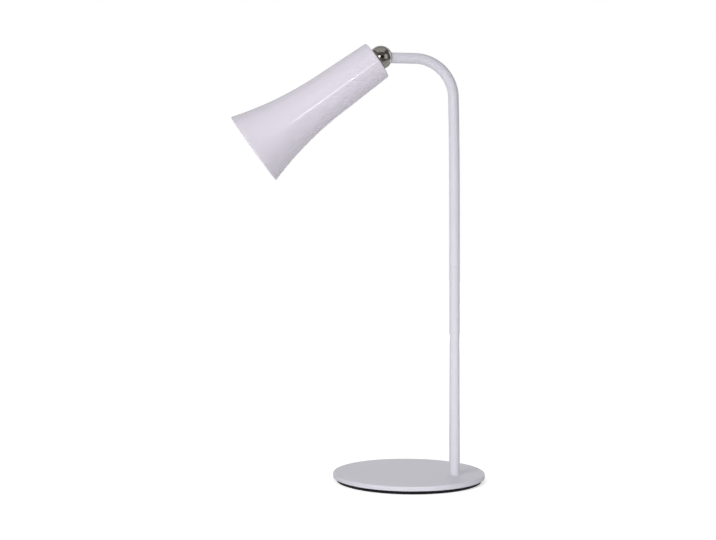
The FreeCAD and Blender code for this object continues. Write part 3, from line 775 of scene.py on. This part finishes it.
class LAMP_OT_base(bpy.types.Operator):
    """Build the steel base, its foam pad, and the bolt and washer under it"""
    bl_idname = "lamp.base"
    bl_label = "Base"

    def execute(self, context):
        sizes = context.scene.lamp_stand
        colours = context.scene.lamp_colours
        metal = turned_metal("zinc_steel", colours.zinc, POST)
        dressed("base_plate", plate_mesh(sizes), satin_paint("base_paint", colours.paint), "stand")
        dressed("base_pad", pad_mesh(sizes), closed_foam(colours), "stand")
        dressed("bolt_washer", washer_mesh(), metal, "stand", POST)
        dressed("post_bolt", bolt_mesh(sizes), metal, "stand", POST)
        return {"FINISHED"}


# ---- Post ----

def drawn_out(mesh, loop, way):
    """Extrudes a loop of edges along a way and gives the loop at its end."""
    made = bmesh.ops.extrude_edge_only(mesh, edges=loop)["geom"]
    bmesh.ops.translate(mesh, verts=of_type(made, bmesh.types.BMVert), vec=way)
    return [side for side in of_type(made, bmesh.types.BMEdge) if len(side.link_faces) == 1]


def turned_on(mesh, loop, centre, angle, steps):
    """Spins a loop of edges about a centre that lies on the arm's side, and gives the loop at its end."""
    corners = list({corner for side in loop for corner in side.verts})
    about = ((centre.x, 0, centre.y), (0, -1, 0))
    return of_type(spin(mesh, corners + loop, about, angle, steps), bmesh.types.BMEdge)


def upper_tube_mesh(sizes):
    """Straight tube that leans over into its bend, and a short arm, coped to the ball."""
    foot = lower_tube.end
    lean = sizes.lean_length / sizes.lean_angle
    way = Vector((math.cos(sizes.lean_angle), math.sin(sizes.lean_angle)))
    bend_height = BALL.z - sizes.bend_radius
    lean_centre = Vector((-lean, bend_height - (lean - sizes.bend_radius) * way.y))
    bend_centre = lean_centre + (lean - sizes.bend_radius) * way
    reach = POST.translation.x + bend_centre.x - BALL.x - steel_ball.radius / 2
    mesh = bmesh.new()
    bmesh.ops.create_circle(
        mesh, radius=lower_tube.radius, segments=SMALL, matrix=Matrix.Translation((0, 0, foot)))
    loop = drawn_out(mesh, mesh.edges[:], (0, 0, MM))
    loop = drawn_out(mesh, loop, (0, 0, lean_centre.y - foot - MM))
    loop = turned_on(mesh, loop, lean_centre, sizes.lean_angle, 12)
    loop = turned_on(mesh, loop, bend_centre, math.pi / 2 - sizes.lean_angle, 48)
    drawn_out(mesh, loop, (-reach, 0, 0))
    sealed(mesh)
    bmesh.ops.solidify(mesh, geom=mesh.faces[:], thickness=lower_tube.radius - lower_tube.bore)
    middle = (lower_tube.radius + lower_tube.bore) / 2
    rim = [side for side in mesh.edges if all(
        abs(end.co.z - foot) < 0.01 * MM and end.co.xy.length > middle for end in side.verts)]
    bevel(mesh, rim, sizes.tube_edge, 4)
    bmesh.ops.recalc_face_normals(mesh, faces=mesh.faces)
    cope = moved(ball_mesh(steel_ball.radius + FIT), POST.inverted() @ ARM)
    return without(mesh, cope)


class LAMP_OT_post(bpy.types.Operator):
    """Build the two tubes of the post"""
    bl_idname = "lamp.post"
    bl_label = "Post"

    def execute(self, context):
        sizes = context.scene.lamp_stand
        paint = satin_paint("post_paint", context.scene.lamp_colours.paint)
        dressed("lower_post", ring(lower_tube, (0, 0, sizes.tube_edge, 0), SMALL), paint, "stand", POST)
        dressed("upper_post", upper_tube_mesh(sizes), paint, "stand", POST)
        return {"FINISHED"}


# ---- Ball ----

def ball_mesh(radius):
    """Ball whose poles lie on Z."""
    return Outline(0, -radius).arc(0, 0, 180, LARGE // 2).spun(LARGE)


class LAMP_OT_ball(bpy.types.Operator):
    """Build the polished ball"""
    bl_idname = "lamp.ball"
    bl_label = "Ball"

    def execute(self, context):
        finish = polished_steel(context.scene.lamp_colours)
        dressed("steel_ball", ball_mesh(steel_ball.radius), finish, "ball", ARM)
        return {"FINISHED"}


# ---- Shell ----

RIB_WIDTH = 0.06                # of a rib, round the shell in radians
BEADS = 3
BEAD_WIDTH = 0.29               # round the shell in radians
BEAD_LENGTH = 1.6 * MM
PORT_REACH = 7 * MM             # from the middle of the port, past the ends of its opening

class Skin:
    """The shell's surface: a drafted cone that runs on into one long flare."""

    def __init__(self, sizes):
        self.sizes = sizes
        self.cone_end = Vector((sizes.tail_radius + sizes.draft * sizes.cone_length,
                                shell.start + sizes.cone_length))
        self.lip = shell.start + sizes.length - sizes.wall / 2
        self.slant = math.hypot(1.0, sizes.draft)
        self.normal = Vector((1.0, -sizes.draft)) / self.slant
        chord = Vector((sizes.mouth_radius, self.lip)) - self.cone_end
        self.bend = chord.length_squared / (2 * chord.dot(self.normal))
        self.centre = self.cone_end + self.normal * self.bend

    def turn(self, depth):
        """Where the flare starts, this deep under the skin."""
        return self.cone_end - self.normal * depth

    def radius(self, z, depth=0.0):
        start = self.turn(depth)
        if z <= start.y:
            return start.x - self.sizes.draft * (start.y - z)
        return self.centre.x - math.sqrt((self.bend + depth) ** 2 - (z - self.centre.y) ** 2)

    def at_lip(self, depth, beyond=0.0):
        """Point this deep under the skin, square to it, and this far past the lip's place."""
        edge = Vector((self.sizes.mouth_radius, self.lip))
        outward = (edge - self.centre).normalized()
        along = Vector((outward.y, -outward.x))
        return edge + outward * depth + along * beyond


def shell_wall(skin):
    """The trumpet with the flange inside its tail."""
    sizes = skin.sizes
    wall = sizes.wall
    round_lip = wall * 0.47
    flange = shell.start + sizes.tail_flange
    inner = skin.turn(wall)
    line = Outline(sizes.tail_opening, shell.start, SOFTER)
    line.along((sizes.tail_radius, shell.start, sizes.tail_edge), skin.cone_end)
    line.flare_to(skin.centre, skin.lip, 56).along(
        (*skin.at_lip(0, wall / 2), round_lip), (*skin.at_lip(wall, wall / 2), round_lip), skin.at_lip(wall))
    line.flare_to(skin.centre, inner.y, 40).along(
        (skin.radius(flange, wall), flange), (sizes.tail_opening, flange))
    return line.closed().spun(LARGEST)


def shell_ribs(skin):
    """Ribs that keep the chassis from turning, one on each side."""
    depth = skin.sizes.wall
    tall = depth + skin.sizes.rib_height
    start = cap.end + FIT
    end = spreader.start - FIT
    ribs = []
    for side in (1, -1):
        line = Outline(skin.radius(start, depth), start).to(*skin.turn(depth))
        line.flare_to(skin.centre, end, 12).to(skin.radius(end, tall), end)
        line.flare_to(skin.centre, skin.turn(tall).y, 12).to(skin.radius(start, tall), start)
        ribs.append(line.closed().swept(side * math.pi / 2, RIB_WIDTH, 2))
    return ribs


def snap_beads(skin):
    """Beads in front of the bezel, which it snaps in behind."""
    depth = skin.sizes.wall
    start = bezel.end + FIT
    end = start + BEAD_LENGTH
    middle = (start + end) / 2
    beads = []
    for index in range(BEADS):
        line = Outline(skin.radius(start, depth - FIT), start).along(
            (skin.radius(middle, depth) - skin.sizes.rib_height, middle, SOFTEST),
            (skin.radius(end, depth - FIT), end))
        beads.append(line.closed().swept(math.pi / 2 + index * 2 * math.pi / BEADS, BEAD_WIDTH))
    return beads


def port_opening(sizes, start, end):
    wide = port.high.z - port.low.z + 2 * sizes.port_gap
    narrow = port.high.y - port.low.y + 2 * sizes.port_gap
    return moved(slot_bar(wide, narrow, start, end), Matrix.Translation((0, 0, port.middle.z)))


def shell_mesh(sizes):
    skin = Skin(sizes)
    outside = 2 * sizes.mouth_radius
    drill = HEAD.inverted() @ BUTTON
    hole = moved(rod(sizes.button_radius + sizes.button_gap, board.high.x, outside, SMALL), drill)
    mesh = without(shell_wall(skin), port_opening(sizes, board.high.x, outside), hole)

    def at_an_opening(point):
        to_button = (point - Vector((point.x, 0, button.middle.z))).length
        to_port = (point - Vector((point.x, 0, port.middle.z))).length
        return point.x > 0 and (to_button < 1.2 * sizes.button_radius or to_port < PORT_REACH)

    mesh = eased(mesh, sizes.hole_edge, at_an_opening)
    return merged(mesh, *shell_ribs(skin), *snap_beads(skin))


class LAMP_OT_shell(bpy.types.Operator):
    """Build the trumpet-shaped shell"""
    bl_idname = "lamp.shell"
    bl_label = "Shell"

    def execute(self, context):
        finish = gloss_plastic(context.scene.lamp_colours)
        dressed("head_shell", shell_mesh(context.scene.lamp_head), finish, "head", HEAD)
        return {"FINISHED"}


# ---- Tail ----

KEEPER = 1.5 * MM               # thickness of the steel behind the magnet
POCKET_FLOOR = 1.8 * MM         # of the cap, behind the keeper
BRIM = 0.8 * MM                 # lead-in at the edge of the dish

def cap_mesh(sizes):
    """Plug behind the tail's flange, with the ball's dish and the magnet's pocket."""
    wall = sizes.cap_wall
    dish = steel_ball.radius + sizes.dish_gap
    pocket = magnet.radius + FIT
    floor = magnet.end + KEEPER + FIT
    back = floor + POCKET_FLOOR
    nose = sizes.tail_opening - FIT
    shoulder = shell.start + sizes.tail_flange + FIT
    brim = cap.start + BRIM
    first = math.degrees(math.acos(pocket / dish))
    last = math.degrees(math.asin(brim / dish))
    line = Outline(0, floor).along((pocket, floor), (pocket, math.sqrt(dish ** 2 - pocket ** 2)))
    return line.arc(0, 0, last - first, 20).along(
        (math.sqrt(dish ** 2 - brim ** 2) + BRIM, cap.start, SOFTER), (nose, cap.start, SOFTER),
        (nose, shoulder), (cap.radius, shoulder), (cap.radius, cap.end), (cap.radius - wall, cap.end),
        (cap.radius - wall, shoulder + wall), (pocket + wall, shoulder + wall), (pocket + wall, back),
        (0, back)).spun(LARGE)


def magnet_mesh():
    """Ring magnet, plated, its face ground hollow to the ball."""
    dish = steel_ball.radius + FIT
    flat = math.sqrt(dish ** 2 - magnet.start ** 2)
    first = math.degrees(math.acos(magnet.bore / dish))
    last = math.degrees(math.asin(magnet.start / dish))
    line = Outline(magnet.bore, magnet.end, SOFTEST).to(magnet.bore, math.sqrt(dish ** 2 - magnet.bore ** 2))
    return line.arc(0, 0, last - first, 16).along(
        (max(flat, magnet.bore), magnet.start), (magnet.radius, magnet.start, SOFT),
        (magnet.radius, magnet.end, SOFTEST)).closed().spun(128)


class LAMP_OT_tail(bpy.types.Operator):
    """Build the tail cap and the dished magnet"""
    bl_idname = "lamp.tail"
    bl_label = "Tail"

    def execute(self, context):
        colours = context.scene.lamp_colours
        nickel = plated_metal("nickel", colours.nickel)
        dressed("tail_cap", cap_mesh(context.scene.lamp_head), gloss_plastic(colours), "head", HEAD)
        dressed("magnet", magnet_mesh(), nickel, "magnet_seat", HEAD)
        return {"FINISHED"}


# ---- Light ----

BEZEL_GAP = 0.25 * MM           # room round the bezel, in the shell

def bezel_mesh(sizes):
    skin = Skin(sizes)
    depth = sizes.wall
    return Outline(bezel.bore, bezel.start, SOFT).along(
        (skin.radius(bezel.start, depth) - BEZEL_GAP, bezel.start, SOFT),
        (skin.radius(bezel.end, depth) - BEZEL_GAP, bezel.end, 0.35 * MM),
        (bezel.bore, bezel.end, sizes.bezel_edge)).closed().spun(LARGE)


def diffuser_mesh():
    return rod(diffuser.radius, diffuser.start, diffuser.end, LARGE, SOFT, 0.5 * MM)


class LAMP_OT_light(bpy.types.Operator):
    """Build the bezel and the diffuser, and finish the light behind them"""
    bl_idname = "lamp.light"
    bl_label = "Light"

    def execute(self, context):
        sizes = context.scene.lamp_head
        colours = context.scene.lamp_colours
        dressed("bezel_ring", bezel_mesh(sizes), gloss_plastic(colours), "head", HEAD)
        dressed("diffuser", diffuser_mesh(), opal_sheet(colours), "head", HEAD)
        dress(white_reflector(), "reflector")
        dress(phosphor(colours), "leds")
        dress(brushed_aluminium(colours), "heat_spreader", "led_board")
        return {"FINISHED"}


# ---- Switch and port ----

BUTTON_POST = 1.6 * MM          # radius of the post that presses the switch
FLANGE = MM                     # thickness of the button's flange
FLANGE_GAP = 0.15 * MM          # from the flange to the shell
DISH_SHARE = 0.78               # of the button's radius
TONGUE = 0.5 * MM               # half the thickness of the port's tongue
TONGUE_SINK = 0.8 * MM          # from the port's mouth to the tongue
CONTACTS = 6                    # on each face of the tongue
CONTACT_PITCH = 0.85 * MM
CONTACT_HALF = Vector((0, 0.04, 0.22)) * MM     # half its thickness and its width
CONTACT_ENDS = (3.2 * MM, 1.1 * MM)             # inside the port's mouth

def button_mesh(sizes):
    """Button with a finger dish, a flange that keeps it in and a post to the switch."""
    skin = Skin(sizes)
    radius = sizes.button_radius
    wall = skin.radius(button.middle.z - pressed.radius, sizes.wall)
    top = math.sqrt(wall ** 2 - pressed.radius ** 2) - FLANGE_GAP
    bottom = top - FLANGE
    rim = radius * DISH_SHARE
    dish = (rim ** 2 + sizes.button_dish ** 2) / (2 * sizes.button_dish)
    line = Outline(0, pressed.start).along(
        (BUTTON_POST, pressed.start), (BUTTON_POST, bottom), (pressed.radius, bottom, SOFT),
        (pressed.radius, top, SOFT), (radius, top), (radius, pressed.end, sizes.button_edge),
        (rim, pressed.end))
    centre = pressed.end - sizes.button_dish + dish
    return line.arc(0, centre, -math.degrees(math.asin(rim / dish)), 12).spun(SMALL)


def port_mesh(sizes):
    """Drawn metal can, closed behind."""
    sheet = sizes.port_sheet
    wide = port.high.z - port.low.z
    narrow = port.high.y - port.low.y
    inside = slot_bar(wide - 2 * sheet, narrow - 2 * sheet, port.low.x + sheet, port.high.x + PAST)
    can = without(slot_bar(wide, narrow, port.low.x, port.high.x), inside)
    can = eased(can, 0.12 * MM, lambda point: point.x > port.high.x - 0.1 * MM)
    return moved(can, Matrix.Translation((0, 0, port.middle.z)))


def bar(low, high, edge):
    """Box with rounded edges."""
    size = [b - a for a, b in zip(low, high)]
    place = Matrix.Translation([(a + b) / 2 for a, b in zip(low, high)]) @ Matrix.Diagonal((*size, 1))
    mesh = bmesh.new()
    bmesh.ops.create_cube(mesh, size=1, matrix=place)
    return bevel(mesh, mesh.edges[:], edge, 3)


def tongue_mesh():
    reach = (port.high.z - port.low.z) / 3
    low = (port.low.x, -TONGUE, port.middle.z - reach)
    return bar(low, (port.high.x - TONGUE_SINK, TONGUE, port.middle.z + reach), 0.12 * MM)


def contact_meshes():
    """Rows of flat contacts on both faces of the tongue."""
    pads = []
    for side in (-1, 1):
        for index in range(CONTACTS):
            z = port.middle.z + (index - (CONTACTS - 1) / 2) * CONTACT_PITCH
            low, high = (Vector((port.high.x - end, side * TONGUE, z)) for end in CONTACT_ENDS)
            pads.append(bar(low - CONTACT_HALF, high + CONTACT_HALF, 0.01 * MM))
    return pads


class LAMP_OT_switch(bpy.types.Operator):
    """Build the button and the charging port"""
    bl_idname = "lamp.switch"
    bl_label = "Switch and port"

    def execute(self, context):
        sizes = context.scene.lamp_head
        colours = context.scene.lamp_colours
        gilt = plated_metal("insert_brass", colours.brass, 0.15)
        can = plated_metal("zinc_steel", colours.nickel)
        dressed("button_cap", button_mesh(sizes), gloss_plastic(colours), "button", BUTTON)
        dressed("charge_port", port_mesh(sizes), can, "head", HEAD)
        piece("charge_port_tongue", tongue_mesh(), eroded_plastic(colours), "head", HEAD)
        piece("charge_port_contacts", merged(*contact_meshes()), gilt, "head", HEAD)
        return {"FINISHED"}


# ---- Works inside the head and the tubes ----

class LAMP_OT_works(bpy.types.Operator):
    """Finish the pieces inside the head and the tubes"""
    bl_idname = "lamp.works"
    bl_label = "Works"

    def execute(self, context):
        colours = context.scene.lamp_colours
        for slot, value, place, *nodes in (
                ("insert_brass", colours.brass, POST,
                 "foot_insert", "lower_post_insert", "upper_post_insert"),
                ("insert_brass", colours.brass, ARM, "arm_insert"),
                ("zinc_steel", colours.zinc, POST, "joint_stud"),
                ("zinc_steel", colours.zinc, ARM, "ball_stem")):
            dress(turned_metal(slot, value, place, 0.5 * MM, 0.25), *nodes)
        dress(plated_metal("zinc_steel", colours.zinc, 0.25), "board_screws", "led_screws")
        dress(plated_metal("nickel", colours.nickel), "magnet_keeper", "battery_contacts")
        dress(eroded_plastic(colours), "chassis", "switch_body", "switch_plunger", "board_parts")
        dress(shrink_sleeve(colours), "battery_cell")
        dress(board_mask(colours), "control_board")
        dress(wire_sleeves(colours), "battery_leads", "led_leads")
        return {"FINISHED"}


# ---- Stage ----

FLOOR_SIZE = 6.0
FLOOR_FADE = (0.15, 0.7)        # from the base, over which the floor's own light grows to its full level
FLOOR_LIFT = 0.55               # that light at the base, where 1 is white
MIDDLE = Vector((0, 0, 0.25))   # of the lamp's height, more or less
# Each light: how far it stands right of the lamp, behind it and above the floor, what it aims at, its
# width and height, and how wide it spreads.
LIGHTS = (
    ("key", (-1.3, -1.8, 1.15), MIDDLE, (1.3, 1.3), math.pi),
    ("back", (0.4, 1.9, 0.45), MIDDLE, (2.8, 0.7), math.pi),
    ("top", (0.0, 0.2, 2.25), MIDDLE, (1.5, 1.5), math.pi),
    ("low", (0.12, -0.72, 0.07), Vector((0, 0, 0.06)), (1.4, 0.12), math.radians(118)),
)
ROOM_SIZE = (5.0, 3.4, 2.4)     # of the dark room that gloss and steel mirror
ROOM_FORWARD = 1.1              # of its middle, from the ball towards the camera
ROOM_HEIGHT = 1.2005            # of its middle, over the floor
# Each light that the head alone mirrors: its angles right of and above the camera's side, its distance, and
# its width and height.
SHEET = (2.5, 22, 0.9), (0.98, 0.34)
STRIP = (15.2, -1.4, 0.6), (0.022, 0.09)
SHEEN_LEAN = -54                # degrees, along the head
STRIP_LEVEL = 26                # times the sheet's

def seen_or_mirrored(nodes):
    """1 where the camera, a gloss or a clear piece looks, 0 where light only bounces."""
    rays = [nodes.node("ShaderNodeLightPath", {}, {}, name)
            for name in ("Is Camera Ray", "Is Glossy Ray", "Is Transmission Ray")]
    return rays[0].math("MAXIMUM", rays[0].math("MAXIMUM", rays[0], rays[1]), rays[2])


def floor_finish():
    """Pale matt floor that shows white, with the lamp's soft shadow."""
    finish = Finish("studio_floor", {
        "Base Color": (0.88, 0.88, 0.885, 1), "Roughness": 0.9, "Specular IOR Level": 0.0,
        "Emission Strength": 1.0})
    x, y = finish.here().parts()[:2]
    far = ((x * x + y * y) ** 0.5).between(*FLOOR_FADE)
    lift = seen_or_mirrored(finish) * (FLOOR_LIFT + (1 - FLOOR_LIFT) * far)
    finish.drive("Emission Color", finish.blend(lift, (0, 0, 0), (1, 1, 1)))
    return finish


def area_light(name, place, watts, size, spread=math.pi):
    """Soft light that shines down its place's Z axis."""
    data = bpy.data.lights.new(name, "AREA")
    data.shape = "RECTANGLE"
    data.size, data.size_y = size
    data.energy = watts
    data.spread = spread
    made = bpy.data.objects.new(name, data)
    made.matrix_world = place
    made.visible_camera = False
    bpy.context.scene.collection.objects.link(made)
    return made


def aimed(place, aim):
    """Place whose Z axis points back from an aim."""
    return Matrix.Translation(place) @ (aim - place).to_track_quat("-Z", "Y").to_matrix().to_4x4()


def sheen_light(name, place, level, size, mirror):
    """Light of an even level that lights one object alone, and only by its gloss."""
    made = area_light(name, place, level * math.pi * size[0] * size[1], size)
    made.visible_diffuse = made.visible_transmission = False
    made.light_linking.receiver_collection = bpy.data.collections.new(name)
    made.light_linking.receiver_collection.objects.link(mirror)


def mirrored_only(mesh, name, level, tint=(1, 0.985, 0.96)):
    """Makes a mesh one even tone that only reflections see."""
    made = as_object(mesh, name)
    finish = Finish(name, {
        "Base Color": (0, 0, 0, 1), "Specular IOR Level": 0.0, "Emission Color": (*tint, 1),
        "Emission Strength": level})
    made.data.materials.append(finish.material)
    made.visible_camera = made.visible_diffuse = made.visible_shadow = made.visible_transmission = False


def panel(name, place, size, level):
    """Even panel, square to the Z axis of its place."""
    mesh = bmesh.new()
    bmesh.ops.create_grid(
        mesh, x_segments=1, y_segments=1, size=0.5, matrix=place @ Matrix.Diagonal((*size, 1, 1)))
    mirrored_only(mesh, name, level)


def upright(centre, right, up, distance, lean=0.0):
    """Place that faces a centre from these angles right of and above the camera's side of it."""
    turned = Matrix.Rotation(math.radians(right), 4, "Z") @ Matrix.Rotation(math.radians(-up), 4, "X")
    stood = Matrix.Translation((0, -distance, 0)) @ Matrix.Rotation(math.pi / 2, 4, "X")
    return centre @ turned @ stood @ Matrix.Rotation(math.radians(lean), 4, "Z")


def studio_walls(ball):
    """Dark room, open behind the lamp, and the panels in and behind it, as gloss and steel show them.

    Each panel has its place, its width and height, and its level, where 1 is white.
    """
    mesh = bmesh.new()
    middle = ball @ Matrix.Translation((0, -ROOM_FORWARD, ROOM_HEIGHT - BALL.z))
    box = middle @ Matrix.Diagonal((*ROOM_SIZE, 1))
    bmesh.ops.create_cube(mesh, size=1, matrix=box)
    back = [face for face in mesh.faces if face.normal.dot(ball.col[1].xyz) > 0.5]
    bmesh.ops.delete(mesh, geom=back, context="FACES")
    mirrored_only(mesh, "studio_walls", 0.11, (1, 0.93, 0.84))
    panel("studio_back", upright(ball @ Matrix.Translation((0, 0, 1.25)), 180, 0, 1.7), (6.0, 2.3), 0.5)
    panel("studio_ceiling_behind", ball @ Matrix.Translation((0, 0.95, 1.98)), (5.0, 0.7), 0.15)
    panel("studio_ceiling", ball @ Matrix.Translation((-0.1, -0.35, 1.2)), (1.7, 1.5), 0.42)
    panel("studio_table", ball @ Matrix.Translation((0.1, 0.64, 0.002 - BALL.z)), (3.0, 2.0), 0.38)
    panel("studio_camera_side", upright(ball, 4, -3, 2.6), (2.1, 1.4), 0.012)
    panel("studio_right", upright(ball, 51, 4.6, 1.6), (0.92, 1.1), 0.54)
    panel("studio_window", upright(ball, -15.5, 3.7, 1.5), (0.46, 0.42), 3.2)


def room(ambient):
    """White to the camera and in reflections, and a plain level of light from all round."""
    world = bpy.data.worlds.new("studio_room")
    bpy.context.scene.world = world
    nodes = Nodes(world)
    background = nodes.tree.nodes["Background"]
    background.inputs["Color"].default_value = (1, 1, 1, 1)
    nodes.link(seen_or_mirrored(nodes) * (1 - ambient) + ambient, background, "Strength")


class LAMP_OT_stage(bpy.types.Operator):
    """Set up the floor, the room, the lights and the camera"""
    bl_idname = "lamp.stage"
    bl_label = "Stage"

    def execute(self, context):
        studio = context.scene.lamp_studio
        context.scene.view_settings.view_transform = "Standard"
        away = Vector((-math.sin(studio.azimuth), math.cos(studio.azimuth), 0))
        right = Vector((away.y, -away.x, 0))
        up = Vector((0, 0, 1))

        mesh = bmesh.new()
        bmesh.ops.create_grid(mesh, x_segments=1, y_segments=1, size=FLOOR_SIZE)
        floor = as_object(mesh, "studio_floor")
        floor.data.materials.append(floor_finish().material)

        room(studio.ambient)
        turn = Matrix((right, away, up)).transposed().to_4x4()
        studio_walls(Matrix.Translation(BALL) @ turn)
        for name, (across, depth, height), aim, size, spread in LIGHTS:
            place = right * across + away * depth + up * height
            light = area_light(name, aimed(place, aim), getattr(studio, name), size, spread)
            light.visible_glossy = False
        head = Matrix.Translation(HEAD @ Vector((0, 0, shell.middle.z))) @ turn
        skin = bpy.data.objects["head_shell_dressed"]
        for name, (stand, size), level in (("sheet", SHEET, 1), ("strip", STRIP, STRIP_LEVEL)):
            place = upright(head, *stand, SHEEN_LEAN)
            sheen_light(name, place, studio.sheen * level, size, skin)

        data = bpy.data.cameras.new("camera")
        data.sensor_width = SENSOR_WIDTH
        data.lens = FOCAL_PIXELS * data.sensor_width / WIDTH_PIXELS
        data.shift_x = (WIDTH_PIXELS / 2 - VIEW_X) / WIDTH_PIXELS
        data.shift_y = (VIEW_Y - HEIGHT_PIXELS / 2) / WIDTH_PIXELS
        camera = bpy.data.objects.new("camera", data)
        camera.location = -away * studio.distance - right * studio.aside + up * studio.height
        camera.rotation_euler = away.to_track_quat("-Z", "Y").to_euler()
        context.scene.collection.objects.link(camera)
        context.scene.camera = camera
        return {"FINISHED"}


# ---- Add-on ----

PIECES = (LAMP_OT_base, LAMP_OT_post, LAMP_OT_ball, LAMP_OT_shell, LAMP_OT_tail, LAMP_OT_light,
          LAMP_OT_switch, LAMP_OT_works, LAMP_OT_stage)


class LAMP_PT_builder(bpy.types.Panel):
    """Sizes, colours and builders of the lamp"""
    bl_idname = "LAMP_PT_builder"
    bl_label = "Cordless Desk Lamp"
    bl_space_type = "VIEW_3D"
    bl_region_type = "UI"
    bl_category = "Lamp"

    def draw(self, context):
        for name, group in GROUPS.items():
            box = self.layout.box()
            box.label(text=group.bl_rna.name)
            for size in group.__annotations__:
                box.prop(getattr(context.scene, name), size)
        for made in PIECES:
            self.layout.operator(made.bl_idname)


def register():
    for made in (*GROUPS.values(), *PIECES, LAMP_PT_builder):
        bpy.utils.register_class(made)
    for name, group in GROUPS.items():
        setattr(bpy.types.Scene, name, bpy.props.PointerProperty(type=group))


def unregister():
    for name in GROUPS:
        delattr(bpy.types.Scene, name)
    for made in (LAMP_PT_builder, *reversed(PIECES), *reversed(GROUPS.values())):
        bpy.utils.unregister_class(made)


def main():
    register()
    bpy.ops.lamp.base()
    bpy.ops.lamp.post()
    bpy.ops.lamp.ball()
    bpy.ops.lamp.shell()
    bpy.ops.lamp.tail()
    bpy.ops.lamp.light()
    bpy.ops.lamp.switch()
    bpy.ops.lamp.works()
    bpy.ops.lamp.stage()


if __name__ == "__main__":
    main()
